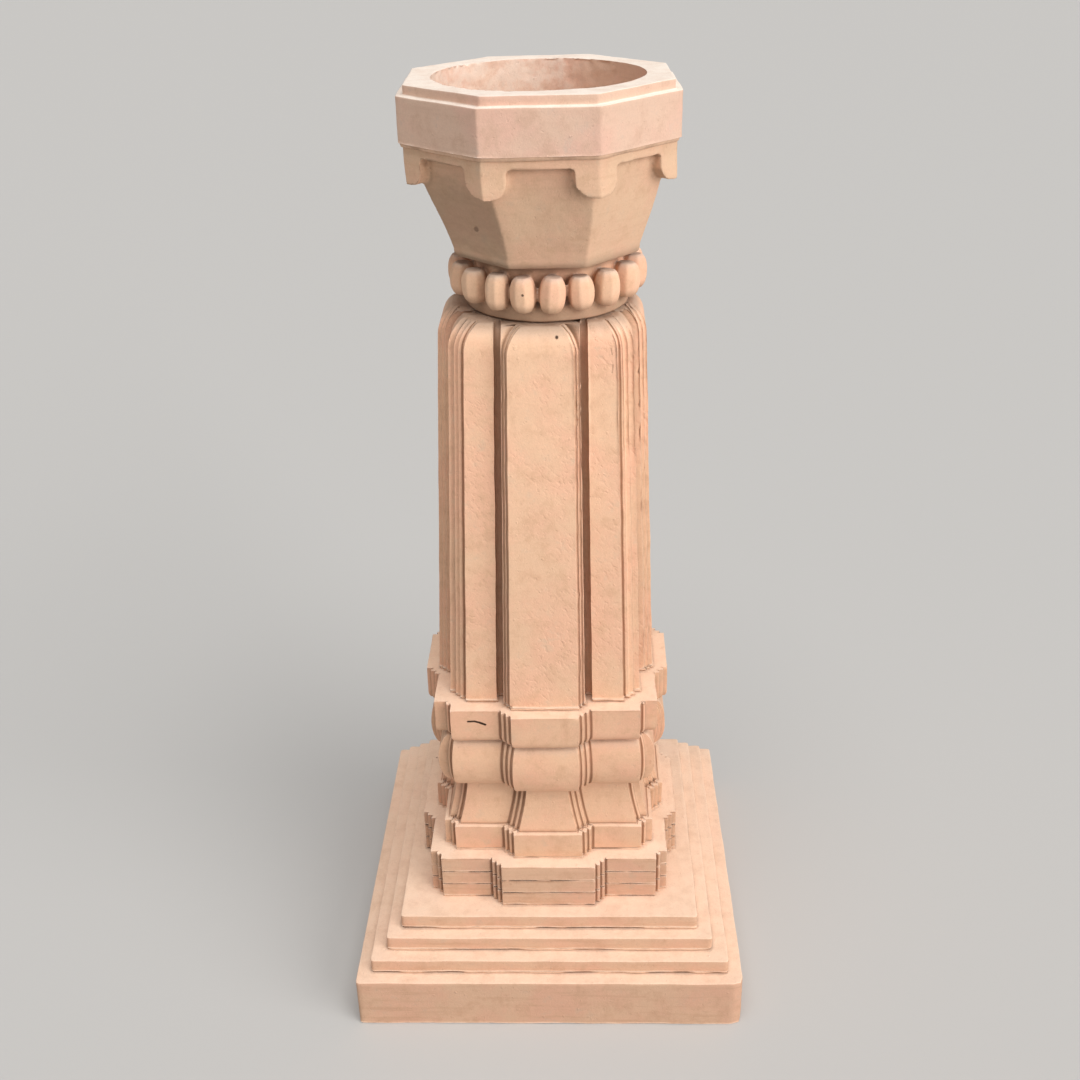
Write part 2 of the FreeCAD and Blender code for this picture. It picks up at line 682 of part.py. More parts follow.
# The tongues and the strip come first, as an octagonal band with a window in the middle of each face
bowl = new_body("bowl", LEVEL["bowl"], loose=True)
strip_level = less(size("bowl_rise"), size("frieze_rise"))
tongue_level = less(strip_level, size("tongue_drop"))
band_sketch = octagon(bowl, "frieze_plan", tongue_level, size("frieze_half"))
band = pad(bowl, "frieze_band", band_sketch, total(size("tongue_drop"), size("frieze_rise")))
doc.recompute()

# The gap between two tongues: rounded under the strip and opening out over the tongues' feet
window_half = "(%s * tan(%g) - %s)" % (size("frieze_half"), HALF_FACE_TURN, size("tongue_width"))
window_depth = less(size("frieze_half"), size("bowl_waist_half"))
window_low = less(tongue_level, size("cut_overrun"))
window_right = {
    "foot": (total(window_half, size("tongue_corner")), window_low),
    "toe": (total(window_half, size("tongue_corner")), tongue_level),
    "side": (window_half, total(tongue_level, size("tongue_corner"))),
    "neck": (window_half, less(strip_level, size("tongue_fillet"))),
    "top": (less(window_half, size("tongue_fillet")), strip_level),
}
window_places = {}
for name, (x, y) in window_right.items():
    window_places["right_" + name] = (x, y)
    window_places["left_" + name] = ("-(" + x + ")", y)
window_sketch = new_sketch(bowl, "window_outline", "XZ_Plane", size("frieze_half"))
draw_outline(window_sketch, window_places, (
    ("left_foot", "right_foot", None),
    ("right_foot", "right_toe", None),
    ("right_side", "right_toe", size("tongue_corner")),
    ("right_side", "right_neck", None),
    ("right_neck", "right_top", size("tongue_fillet")),
    ("right_top", "left_top", None),
    ("left_top", "left_neck", size("tongue_fillet")),
    ("left_neck", "left_side", None),
    ("left_toe", "left_side", size("tongue_corner")),
    ("left_toe", "left_foot", None),
))
window = bowl.newObject("PartDesign::Pocket", "frieze_window")
window.Profile = window_sketch
window.setExpression("Length", window_depth)
around(bowl, "frieze_windows", [window], FACES)
doc.recompute()
if not bowl.Shape.Volume < band.Shape.Volume:
    sys.exit("frieze windows cut nothing")

# The body of the bowl: a rounded heel, then slightly swelling flats up to the rim bed
heel_depth = less(size("bowl_heel_half"), size("bowl_foot_half"))
heel_sections = []
for step, turn_share in enumerate(HEEL_TURN_SHARES):
    turn = turn_share * FULL_TURN / SIDES
    level = "0" if turn_share == 0 else "(%s * (1 - cos(%g)))" % (size("bowl_heel_rise"), turn)
    half = "(%s + %s * sin(%g))" % (size("bowl_foot_half"), heel_depth, turn)
    heel_sections.append(octagon(bowl, "heel_plan_%d" % step, level, half))
loft(bowl, "bowl_heel", heel_sections, True)
swell_sections = [
    octagon(bowl, "swell_plan_0", size("bowl_heel_rise"), size("bowl_heel_half")),
    octagon(bowl, "swell_plan_1", size("bowl_waist_rise"), size("bowl_waist_half")),
    octagon(bowl, "swell_plan_2", size("bowl_belly_rise"), size("bowl_belly_half")),
    octagon(bowl, "swell_plan_3", size("bowl_rise"), size("bowl_chest_half")),
]
loft(bowl, "bowl_swell", swell_sections, False)
doc.recompute()

# The hollow is turned: a flat floor, a sloping heel and a wall that opens to the mouth
hollow_top = total(size("bowl_rise"), size("cut_overrun"))
hollow_sketch = new_sketch(bowl, "hollow_profile", "XZ_Plane")
draw_polygon(hollow_sketch, (
    ("0", size("bowl_floor")),
    (size("hollow_floor_radius"), size("bowl_floor")),
    (size("hollow_heel_radius"), total(size("bowl_floor"), size("hollow_heel_rise"))),
    (size("mouth_radius"), size("bowl_rise")),
    (size("mouth_radius"), hollow_top),
    ("0", hollow_top),
))
solid_volume = bowl.Shape.Volume
hollow = bowl.newObject("PartDesign::Groove", "hollow")
hollow.Profile = hollow_sketch
hollow.ReferenceAxis = (hollow_sketch, ["V_Axis"])
hollow.Angle = FULL_TURN
bowl.Tip = hollow
doc.recompute()
if not bowl.Shape.Volume < solid_volume:
    sys.exit("the hollow cut nothing")
bore(bowl, "outlet", size("outlet_radius"), AXIS, "0", size("bowl_floor"), True)

rim = new_body("rim_ring", LEVEL["rim_ring"], loose=True)
rim_band = pad(rim, "rim_band", octagon(rim, "rim_plan", "0", size("rim_half")), size("rim_rise"))
cap = pad(rim, "cap_step", octagon(rim, "cap_plan", size("rim_rise"), size("cap_half")), size("cap_rise"))
rim.Tip = cap
bore(rim, "mouth", size("mouth_radius"), AXIS, "0", total(size("rim_rise"), size("cap_rise")), True)

# Beds in the loose top
rim_mortar = new_body("rim_bed", less(LEVEL["rim_ring"], BED), loose=True)
rim_bed_half = less(size("bowl_chest_half"), size("bed_setback"))
pad(rim_mortar, "rim_bed_sheet", octagon(rim_mortar, "rim_bed_plan", "0", rim_bed_half), BED)
bore(rim_mortar, "rim_bed_mouth", total(size("mouth_radius"), size("bed_setback")), AXIS, "0", BED, True)

bowl_mortar = new_body("bowl_bed", less(LEVEL["bowl"], BED), loose=True)
bowl_bed_sketch = new_sketch(bowl_mortar, "bowl_bed_circle", "XY_Plane")
draw_circles(bowl_bed_sketch, less(size("neck_core_radius"), size("bed_setback")), AXIS)
pad(bowl_mortar, "bowl_bed_sheet", bowl_bed_sketch, BED)
bore(bowl_mortar, "bowl_bed_opening", SOCKET_BORE, AXIS, "0", BED, True)

# Drain tube: stands on the seat in the base slab and ends above the shaft
tube = new_body("drain_tube", size("tube_seat"))
tube_sketch = new_sketch(tube, "tube_circle", "XY_Plane")
draw_circles(tube_sketch, size("tube_radius"), AXIS)
tube_length = total(less(TOP["shaft"], size("tube_seat")), size("spigot_rise"))
pad(tube, "tube_stock", tube_sketch, tube_length)
bore(tube, "tube_bore", less(size("tube_radius"), size("tube_wall")), AXIS, "0", tube_length, True)

# Dowels: two alike in each node


def dowel_pair(name, centres, bottom, length):
    """Two steel pins as one group of separate solids."""
    pins = []
    for index, (x, y) in enumerate(centres):
        pin = doc.addObject("Part::Cylinder", "%s_pin_%d" % (name, index + 1))
        pin.setExpression("Radius", size("dowel_radius"))
        pin.setExpression("Height", length)
        if x != "0":
            pin.setExpression("Placement.Base.x", x)
        if y != "0":
            pin.setExpression("Placement.Base.y", y)
        pins.append(pin)
    group = doc.addObject("Part::Compound", name)
    group.Links = pins
    group.Label = name
    group.setExpression("Placement.Base.z", bottom)
    return group


step_bottom = less(TOP["plinth_slab"], size("step_dowel_depth"))
foot_bottom = less(TOP["upper_step_slab"], size("foot_dowel_depth"))
cushion_bottom = less(TOP["skirt_course"], size("cushion_dowel_depth"))
shaft_bottom = less(TOP["ledge_course"], size("shaft_dowel_depth"))
DOWELS = (
    ("step_dowels", pair_on_x("step_dowel_offset"), step_bottom, TOP["upper_step_slab"]),
    ("foot_dowels", FOOT_DOWELS, foot_bottom, total(LEVEL["skirt_course"], size("skirt_dowel_depth"))),
    ("cushion_dowels", pair_on_x("cushion_dowel_offset"), cushion_bottom,
     total(LEVEL["ledge_course"], size("ledge_dowel_depth"))),
    ("shaft_dowels", pair_on_y("shaft_dowel_offset"), shaft_bottom,
     total(LEVEL["shaft"], size("shaft_socket_depth"))),
)
pairs = [dowel_pair(name, centres, bottom, less(top, bottom)) for name, centres, bottom, top in DOWELS]

# Write each piece, after checking that every object was built
doc.recompute()
failed = [item.Name for item in doc.Objects if "Invalid" in item.State or "Error" in item.State]
if failed:
    sys.exit("not built: " + ", ".join(failed))
nodes = [item for item in doc.Objects if item.TypeId == "PartDesign::Body"] + pairs
for node in nodes:
    if node.Shape.isNull() or not node.Shape.isValid():
        sys.exit(node.Label + " has no valid shape")

os.makedirs("parts", exist_ok=True)
for node in nodes:
    node.Shape.exportStep("parts/" + node.Label + ".step")
    box = node.Shape.BoundBox
    print("%-20s solids %d volume %.0f z %.1f to %.1f" % (
        node.Label, len(node.Shape.Solids), node.Shape.Volume, box.ZMin, box.ZMax))
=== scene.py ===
import math

import bmesh
import bpy
import numpy as np
from mathutils import Matrix, Vector, noise


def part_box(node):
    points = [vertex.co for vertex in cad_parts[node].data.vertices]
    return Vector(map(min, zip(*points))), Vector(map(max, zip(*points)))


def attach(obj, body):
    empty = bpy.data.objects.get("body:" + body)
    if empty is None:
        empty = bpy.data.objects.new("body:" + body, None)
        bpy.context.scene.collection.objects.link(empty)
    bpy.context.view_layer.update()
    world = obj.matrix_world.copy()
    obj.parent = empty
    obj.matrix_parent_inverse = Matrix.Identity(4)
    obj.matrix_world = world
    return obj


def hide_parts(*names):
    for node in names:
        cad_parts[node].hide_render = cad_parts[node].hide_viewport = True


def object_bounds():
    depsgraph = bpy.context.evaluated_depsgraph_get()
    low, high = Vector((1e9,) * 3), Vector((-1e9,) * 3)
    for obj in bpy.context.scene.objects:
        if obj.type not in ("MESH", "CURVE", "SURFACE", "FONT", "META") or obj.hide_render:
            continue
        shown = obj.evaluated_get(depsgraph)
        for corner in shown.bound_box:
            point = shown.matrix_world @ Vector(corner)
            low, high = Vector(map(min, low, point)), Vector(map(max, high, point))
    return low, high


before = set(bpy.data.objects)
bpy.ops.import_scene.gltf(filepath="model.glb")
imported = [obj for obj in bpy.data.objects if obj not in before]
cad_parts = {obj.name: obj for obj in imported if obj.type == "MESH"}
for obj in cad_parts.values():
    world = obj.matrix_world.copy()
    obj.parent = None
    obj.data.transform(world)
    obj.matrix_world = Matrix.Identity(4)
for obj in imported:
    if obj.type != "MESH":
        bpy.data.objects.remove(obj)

bl_info = {
    "name": "Sandstone Pedestal Planter",
    "version": (1, 0, 0),
    "blender": (4, 5, 0),
    "location": "3D View > Sidebar > Planter",
    "description": "Builds a carved sandstone pedestal planter round its packed frame",
    "category": "Add Mesh",
}

CAD_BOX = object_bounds()
BOX = {name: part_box(name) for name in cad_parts}

MM = 0.001
HALF = 0.5
QUARTERS = 4
RIM_FACES = 8
SQUARE = ((-1, -1), (1, -1), (1, 1), (-1, 1))

TOP_BODY = "planter_top"
FOOT_BODY = "pedestal"


def low(node):
    """Height of a node's underside."""
    return BOX[node][0].z


def high(node):
    """Height of a node's top."""
    return BOX[node][1].z


def rise(node):
    """Height of a node from its underside to its top."""
    return high(node) - low(node)


def reach(node):
    """How far a node comes out towards the front."""
    return -BOX[node][0].y


# Sizes and looks that a user can change

def length(label, meaning, default):
    """A length that a user can change."""
    return bpy.props.FloatProperty(
        name=label, description=meaning, default=default, min=0.0,
        unit="LENGTH", subtype="DISTANCE", precision=4)


def share(label, meaning, default, highest=1.0):
    """A share or a strength that a user can change."""
    return bpy.props.FloatProperty(
        name=label, description=meaning, default=default, min=0.0, max=highest,
        subtype="FACTOR")


def colour(label, meaning, default):
    """A colour that a user can change."""
    return bpy.props.FloatVectorProperty(
        name=label, description=meaning, default=default, min=0.0, max=1.0,
        size=3, subtype="COLOR")


def angle(label, meaning, default):
    """An angle that a user can change."""
    return bpy.props.FloatProperty(
        name=label, description=meaning, default=default, unit="ROTATION", subtype="ANGLE")


class CoursePlans(bpy.types.PropertyGroup):
    """Plans of the courses under the shaft."""

    reed_width: length("Reed width", "Width of each reed beside a front panel", 4.9 * MM)
    reed_depth: length("Reed depth", "How far each reed steps back", 4.5 * MM)
    quirk_depth: length("Quirk depth", "Depth of the groove beside each reed", 0.6 * MM)
    quirk_width: length("Quirk width", "Width of that groove", 0.75 * MM)
    foot_panel: length("Foot panel", "Half width of the foot's front panel", 49 * MM)
    foot_side: length("Foot side", "Half width over the foot's side panels", 112.5 * MM)
    skirt_panel: length("Skirt panel", "Half width of the skirt's front panel", 36 * MM)
    skirt_side: length("Skirt side", "Half width over the skirt's side panels", 97.7 * MM)
    skirt_plinth: length("Skirt plinth", "Height of the skirt's upright part", 29.4 * MM)
    skirt_lip: length("Skirt lip", "Width of the flat lip round the slope", 5.6 * MM)
    skirt_riser: length("Skirt riser", "Height of the riser behind the lip", 2 * MM)
    skirt_setback: length("Skirt setback", "How far the slope's top lies back", 14 * MM)
    cushion_panel: length("Cushion panel", "Half width of the cushion's front panel", 34.5 * MM)
    cushion_side: length("Cushion side", "Half width over the cushion's side panels", 96.2 * MM)
    cushion_bulge: length("Cushion bulge", "How far the roll swells out", 15 * MM)
    cushion_end: share("Cushion end", "How much of the roll the front panel's ends follow", 0.27)
    cushion_corner: share("Cushion corner", "How much of the roll the corner reed follows", 0.38)
    ledge_panel: length("Ledge panel", "Half width of the ledge's front panel", 34.3 * MM)
    ledge_side: length("Ledge side", "Half width over the ledge's side panels", 95.2 * MM)
    ledge_undercut: length("Ledge undercut", "How far its lower edge is rounded in", 6 * MM)
    ledge_undercut_rise: length("Ledge undercut rise", "Height of that rounding", 9 * MM)
    tube_bore: length("Tube bore", "Radius of the hole down the middle", 16.8 * MM)


class ShaftPlan(bpy.types.PropertyGroup):
    """Plan and profile of the shaft."""

    panel: length("Panel", "Half width of the front panel at the foot", 34.5 * MM)
    reed_width: length("Reed width", "Width of each reed at the foot", 3.25 * MM)
    reed_depth: length("Reed depth", "How far each reed steps back", 4 * MM)
    quirk_depth: length("Quirk depth", "Depth of the groove beside each reed", 0.5 * MM)
    quirk_width: length("Quirk width", "Width of that groove", 0.65 * MM)
    channel: length("Channel width", "Width of the deep upright channel", 6 * MM)
    side_reach: length("Side reach", "Axis to the side panels' face", 96 * MM)
    side_half: length("Side half", "Half width over the side panels", 79 * MM)
    corner_reach: length("Corner reach", "Axis to the corner reed's face", 89.7 * MM)
    corner_half: length("Corner half", "Half side of the corner square", 85 * MM)
    top_share: share("Top share", "Plan at the top as a share of the foot", 0.86)
    shoulder_radius: length("Shoulder radius", "Radius of the rounding at the top", 30 * MM)
    shoulder_rise: length("Shoulder rise", "Height of that rounding", 24 * MM)
    lean: length("Lean", "How far the top leans to the right", 4 * MM)


class TopSizes(bpy.types.PropertyGroup):
    """Sizes of the loose top."""

    shift: length("Shift", "How far the top sits off the column's axis", 4 * MM)
    turn: angle("Turn", "How far the top is turned", math.radians(1.4))
    skew: length("Skew", "How far the beads and the bowl's foot sit right of the rim", 4 * MM)
    core_radius: length("Core radius", "Radius of the core below the beads", 74.5 * MM)
    core_waist: length("Core waist", "Radius of the core behind the beads", 69 * MM)
    bead_circle: length("Bead circle", "Axis to the middle of each bead", 79 * MM)
    bead_radius: length("Bead radius", "Radius of a bead at its fattest", 12.5 * MM)
    bead_end: length("Bead end", "Radius of a bead at its ends", 7 * MM)
    bead_rise: length("Bead rise", "Height of a bead", 31.5 * MM)
    bead_level: length("Bead level", "Middle of the beads above the ring's underside", 26.8 * MM)
    spigot_bore: length("Spigot bore", "Radius of the hole up the bead ring", 23 * MM)
    rim_half: length("Rim half", "Axis to a flat of the rim band", 119.9 * MM)
    rim_rise: length("Rim rise", "Height of the rim band", 39.3 * MM)
    cap_half: length("Cap half", "Axis to a flat of the cap step", 113.7 * MM)
    mouth_radius: length("Mouth radius", "Radius of the round mouth", 92 * MM)
    grain: length("Carving fineness", "Cell size that the bowl is recut with", 1.52 * MM)


class Wear(bpy.types.PropertyGroup):
    """How rough and worn the stone is."""

    arris: length("Arris rounding", "Rounding of the cut edges", 0.9 * MM)
    wave: length("Wave depth", "Depth of the broad unevenness of a cut face", 0.5 * MM)
    wave_size: length("Wave size", "Length of that unevenness", 45 * MM)
    drift: length("Drift", "How far a cut edge wanders", 0.9 * MM)
    dressing: length("Dressing depth", "Depth of the marks left by dressing", 0.28 * MM)
    dressing_size: length("Dressing size", "Length of those marks", 7 * MM)
    chip: length("Chip depth", "Depth of chips along the edges", 1.6 * MM)
    chip_size: length("Chip size", "Length of those chips", 11 * MM)
    spacing: length("Spacing", "Distance between neighbouring points of a stone", 2.7 * MM)


class StoneColours(bpy.types.PropertyGroup):
    """Colours of the stone, its dirt and painted shade, and its mortar."""

    shaft: colour("Shaft", "Peach stone of the shaft and beads", (0.85, 0.555, 0.37))
    courses: colour("Courses", "Buff stone of the courses under the shaft", (0.72, 0.457, 0.30))
    slabs: colour("Slabs", "Pink stone of the slabs and foot", (0.665, 0.427, 0.288))
    bowl: colour("Bowl", "Brown-buff stone of the bowl", (0.73, 0.49, 0.33))
    rim: colour("Rim", "Greyer stone of the rim", (0.72, 0.50, 0.38))
    dust: colour("Dust", "Pale dusty faces that look up", (0.90, 0.67, 0.51))
    rim_dust: colour("Rim dust", "Whiter dust on the rim and bowl", (0.88, 0.79, 0.70))
    worn: colour("Worn", "Rubbed edges", (0.94, 0.74, 0.60))
    # grime: dark brown for dirt, dark grains and cracks, and for painted shade in grooves, joints
    # and under overhangs
    grime: colour("Grime", "Dirt in grooves and joints", (0.23, 0.12, 0.075))
    mortar: colour("Mortar", "Old lime mortar", (0.66, 0.435, 0.30))
    steel: colour("Steel", "Drawn steel pins", (0.60, 0.60, 0.60))
    pipe: colour("Pipe", "Grey plastic pipe", (0.35, 0.36, 0.37))


class StageLook(bpy.types.PropertyGroup):
    """Floor, lights and camera."""

    floor: colour("Floor", "Colour of the floor", (0.50, 0.495, 0.485))
    floor_side: length("Floor side", "Side of the square floor", 60.0)
    ambient: share("Ambient", "Strength of the light from all round", 0.29, 4.0)
    overhead: share("Overhead", "Strength of the broad light from above", 2.1, 10.0)
    key: share("Key", "Strength of the light from the upper right", 2.45, 10.0)
    camera_place: bpy.props.FloatVectorProperty(
        name="Camera place", description="Where the camera stands",
        default=(0.0381377, -1.1872383, 1.0870751), unit="LENGTH", subtype="XYZ")
    camera_pitch: angle("Camera pitch", "How far the camera looks down", 0.481533)
    camera_yaw: angle("Camera yaw", "How far the camera is turned left", 0.036155)
    camera_roll: angle("Camera roll", "How far the camera is tilted", -0.024964)
    focal: bpy.props.FloatProperty(
        name="Focal length", description="Focal length in millimetres on a 36 mm sensor",
        default=43.998, min=1.0)


SETTINGS = {
    "planter_courses": CoursePlans,
    "planter_shaft": ShaftPlan,
    "planter_top": TopSizes,
    "planter_wear": Wear,
    "planter_colours": StoneColours,
    "planter_stage": StageLook,
}


def settings(name):
    """One group of the scene's settings."""
    return getattr(bpy.context.scene, "planter_" + name)


# Outlines: corners become fine rows of points

COURSE_REEDS = 2
SHAFT_REEDS = 2
# Width of the strip of a top that takes dirt and painted shade from the grooves at its edge
EDGE_STRIP = 1.8 * MM
ROUNDING_STEPS = 2
ROUNDING_LIMIT = 0.45


def soften(corners, spacing, closed):
    """A fine row of points through corners (x, y, rounding). With each point come the two corners
    that it lies between, and how far it is from the first to the second."""
    count = len(corners)
    places = np.array([corner[:2] for corner in corners], float)
    trims = []
    for index, corner in enumerate(corners):
        here = places[index]
        if not closed and index in (0, count - 1):
            trims.append((here, here))
            continue
        arms = [places[index - 1] - here, places[(index + 1) % count] - here]
        spans = [np.linalg.norm(arm) for arm in arms]
        trim = min(corner[2], *(ROUNDING_LIMIT * span for span in spans))
        trims.append(tuple(here + arm / span * trim for arm, span in zip(arms, spans)))
    points, owners = [], []
    for index, (start, finish) in enumerate(trims):
        here = places[index]
        steps = ROUNDING_STEPS if np.linalg.norm(finish - start) > 0 else 0
        for step in range(steps + 1):
            t = step / steps if steps else 0
            points.append(start * (1 - t) ** 2 + here * 2 * t * (1 - t) + finish * t ** 2)
            owners.append((index, index, 0.0))
        if not closed and index == count - 1:
            break
        after = (index + 1) % count
        run = trims[after][0] - finish
        pieces = max(1, math.ceil(np.linalg.norm(run) / spacing))
        whole = np.linalg.norm(places[after] - here)
        for piece in range(1, pieces):
            point = finish + run * piece / pieces
            points.append(point)
            owners.append((index, after, np.linalg.norm(point - here) / whole))
    return np.array(points), owners


def profile(*corners, spacing=None):
    """Points (inset, height) of a stone's side, from its underside to its top."""
    corners = [(*corner, 0.0)[:3] for corner in corners]
    return soften(corners, spacing or settings("wear").spacing, False)[0]


class Plan:
    """A closed outline seen from above, which can be drawn further in or to a scale. Its corners
    are (x, y, rounding, x share, y share, fill x, fill y): an inset moves a corner by these
    shares of itself, and the fill is the step that takes it out of a groove."""

    def __init__(self, corners, spacing):
        places = np.array([corner[:2] for corner in corners], float)
        along = np.roll(places, -1, 0) - places
        along /= np.linalg.norm(along, axis=1)[:, None]
        outward = np.column_stack((along[:, 1], -along[:, 0]))
        before = np.roll(outward, 1, 0)
        inward = -(before + outward) / (1 + (before * outward).sum(1))[:, None]
        inward *= np.array([corner[3:5] for corner in corners])
        self.base, owners = soften(corners, spacing, True)
        first, second, part = (np.array(column) for column in zip(*owners))
        part = part[:, None]
        fill = np.array([(*corner, 0.0, 0.0)[5:7] for corner in corners])
        self.shift = inward[first] * (1 - part) + inward[second] * part
        self.fill = fill[first] * (1 - part) + fill[second] * part

    def ring(self, inset, level, scale=1.0, filled=0.0):
        """The outline at a height, moved in by an inset or by one for each point."""
        inset = np.broadcast_to(inset, len(self.base))
        flat = self.base * scale + self.shift * inset[:, None] + self.fill * filled
        return np.column_stack((flat, np.full(len(flat), level)))

    def stack(self, side):
        """The outline at every point of a side's profile. Its flat ends have no grooves."""
        ends = side[0][1], side[-1][1]
        return [self.ring(inset, level, 1.0, inset > EDGE_STRIP * HALF and level in ends)
                for inset, level in side]


def four_sides(half):
    """All corners of a plan that is alike on four sides. half is the right half of the front,
    as (x, reach, rounding, sideways share of an inset, outward share) and for a groove also its
    depth, up to the diagonal."""
    front = [(-corner[0], *corner[1:]) for corner in reversed(half[:-1])] + half
    corners = []
    for quarter in range(QUARTERS):
        for x, out, rounding, *shares in front:
            spot, fill = (x, -out), (0.0, -sum(shares[2:]))
            shares = shares[:2]
            for _ in range(quarter):
                spot, fill = (-spot[1], spot[0]), (-fill[1], fill[0])
                shares = shares[::-1]
            corners.append((*spot, rounding, *shares, *fill))
    return corners


def quirk(x, out, deep, wide, end=1.0, outward=1.0):
    """The inner corner beside a reed, with a narrow groove cut into it."""
    return [(x, out - deep, 0.0, end, outward, deep),
            (x + wide, out - deep, 0.0, -end, outward, deep),
            (x + wide, out, 0.0, -end, outward)]


def reeded(course, panel, side, rounding, end=1.0, corner=1.0):
    """Half of a course's front: a panel, its reeds, a side panel and a corner reed. end and
    corner say how much of an inset the panels' ends and the corner reed follow."""
    plans = settings("courses")
    width, depth = plans.reed_width, plans.reed_depth
    groove = plans.quirk_depth, plans.quirk_width
    half = []
    for reeds in range(COURSE_REEDS + 1):
        x, out = panel + reeds * width, course - reeds * depth
        half.append((x, out, rounding, end, 1.0))
        half += quirk(x, out - depth, *groove, end)
    half.append((side, course - (COURSE_REEDS + 1) * depth, rounding, end, 1.0))
    half += quirk(side, side + width, *groove, end, corner)
    half.append((side + width, side + width, 2 * rounding, corner, corner))
    return half


def core_ring(ring, half, level):
    """A square inside a ring, each point straight in from one of the ring's."""
    flat = np.clip(ring[:, :2], -half, half)
    return np.column_stack((flat, np.full(len(ring), level)))


def round_ring(ring, radius, level):
    """A circle with a point in line with each of the ring's."""
    flat = ring[:, :2]
    flat = flat / np.linalg.norm(flat, axis=1)[:, None] * radius
    return np.column_stack((flat, np.full(len(ring), level)))


# Meshes

# Points closer than this are one
WELD = 1e-6


def new_object(name, mesh):
    """An object in the scene, which holds a mesh, a light or a camera."""
    made = bpy.data.objects.new(name, mesh)
    bpy.context.scene.collection.objects.link(made)
    return made


def new_piece(name, points, faces):
    """An object from points and faces."""
    mesh = bpy.data.meshes.new(name)
    mesh.from_pydata(np.asarray(points).tolist(), [], np.asarray(faces).tolist())
    return new_object(name, mesh)


def weld(mesh):
    """Merges points that lie together and drops the faces that closed up."""
    work = bmesh.new()
    work.from_mesh(mesh)
    bmesh.ops.remove_doubles(work, verts=work.verts, dist=WELD)
    bmesh.ops.dissolve_degenerate(work, edges=work.edges, dist=WELD)
    work.to_mesh(mesh)
    work.free()


def band(count, below, above):
    """Faces between two rings of points, whose first points have these numbers."""
    here = np.arange(count)
    after = np.roll(here, -1)
    return np.column_stack((below + here, below + after, above + after, above + here))


def swept(name, rings, backs=None):
    """A closed stone through rings of points: each ring joins the next, the last the first.
    backs says how far each point of each ring lies back behind its outline."""
    count = len(rings[0])
    faces = [band(count, index * count, (index + 1) % len(rings) * count)
             for index in range(len(rings))]
    made = new_piece(name, np.concatenate(rings), np.concatenate(faces))
    if backs is not None:
        layer = made.data.attributes.new("back", "FLOAT", "POINT")
        layer.data.foreach_set("value", np.concatenate(backs).astype(np.float32))
    weld(made.data)
    return made


def bored(name, rings, core_half, bore):
    """A swept stone whose top and underside run in to a hole down the middle."""
    bottom, top = rings[0], rings[-1]
    square = core_ring(top, core_half, top[0, 2])
    foot = core_ring(bottom, core_half, bottom[0, 2])
    return swept(name, [foot, *rings, square, round_ring(square, bore, top[0, 2]),
                        round_ring(foot, bore, bottom[0, 2])])


def bake_modifiers(piece):
    """Turns a piece and its modifiers into a plain mesh."""
    bpy.context.view_layer.update()
    graph = bpy.context.evaluated_depsgraph_get()
    mesh = bpy.data.meshes.new_from_object(
        piece.evaluated_get(graph), preserve_all_data_layers=True, depsgraph=graph)
    old = piece.data
    piece.modifiers.clear()
    piece.data = mesh
    mesh.name = piece.name
    bpy.data.meshes.remove(old)


def recut(piece, cell, smoothing):
    """Makes one even skin over a piece's solids."""
    skin = piece.modifiers.new("skin", "REMESH")
    skin.mode = "VOXEL"
    skin.voxel_size = cell
    skin.use_smooth_shade = True
    soft = piece.modifiers.new("soften", "SMOOTH")
    soft.factor = 0.5
    soft.iterations = smoothing
    bake_modifiers(piece)


def forget(piece):
    """Removes a helper and its mesh."""
    mesh = piece.data
    bpy.data.objects.remove(piece)
    bpy.data.meshes.remove(mesh)


def edit_points(piece, change):
    """Passes a piece's points through a function of their array."""
    mesh = piece.data
    points = np.empty(len(mesh.vertices) * 3)
    mesh.vertices.foreach_get("co", points)
    points = change(points.reshape(-1, 3))
    mesh.vertices.foreach_set("co", points.ravel())
    mesh.update()


def place_top(piece):
    """Gives a piece of the loose top its small turn and shift."""
    top = settings("top")
    piece.data.transform(
        Matrix.Translation((top.shift, 0, 0)) @ Matrix.Rotation(top.turn, 4, "Z"))


# Heights between which the skew fades, and the distances from the axis over which it sets in
SKEW_LOW, SKEW_HIGH = 0.79, 0.862
SKEW_NEAR, SKEW_FAR = 0.03, 0.06


def smooth_step(values, start, finish):
    """Rises smoothly from 0 at start to 1 at finish."""
    part = np.clip((values - start) / (finish - start), 0, 1)
    return part * part * (3 - 2 * part)


def skewed(points):
    """Moves the outside of the loose top's lower part to the right, as it was cut."""
    out = smooth_step(np.hypot(points[:, 0], points[:, 1]), SKEW_NEAR, SKEW_FAR)
    down = smooth_step(points[:, 2], SKEW_HIGH, SKEW_LOW)
    points[:, 0] += settings("top").skew * out * down
    return points


# Node graphs written as sums

class Socket:
    """An output of a node, which can stand in a sum."""

    def __init__(self, graph, link):
        self.graph = graph
        self.link = link

    def other(self, name):
        """Another output of the same node."""
        return Socket(self.graph, self.link.node.outputs[name])

    def __add__(self, value):
        return self.graph.maths("ADD", self, value)

    def __sub__(self, value):
        return self.graph.maths("SUBTRACT", self, value)

    def __rsub__(self, value):
        return self.graph.maths("SUBTRACT", value, self)

    def __mul__(self, value):
        return self.graph.maths("MULTIPLY", self, value)

    def __truediv__(self, value):
        return self.graph.maths("DIVIDE", self, value)

    def __rtruediv__(self, value):
        return self.graph.maths("DIVIDE", value, self)

    __radd__ = __add__
    __rmul__ = __mul__


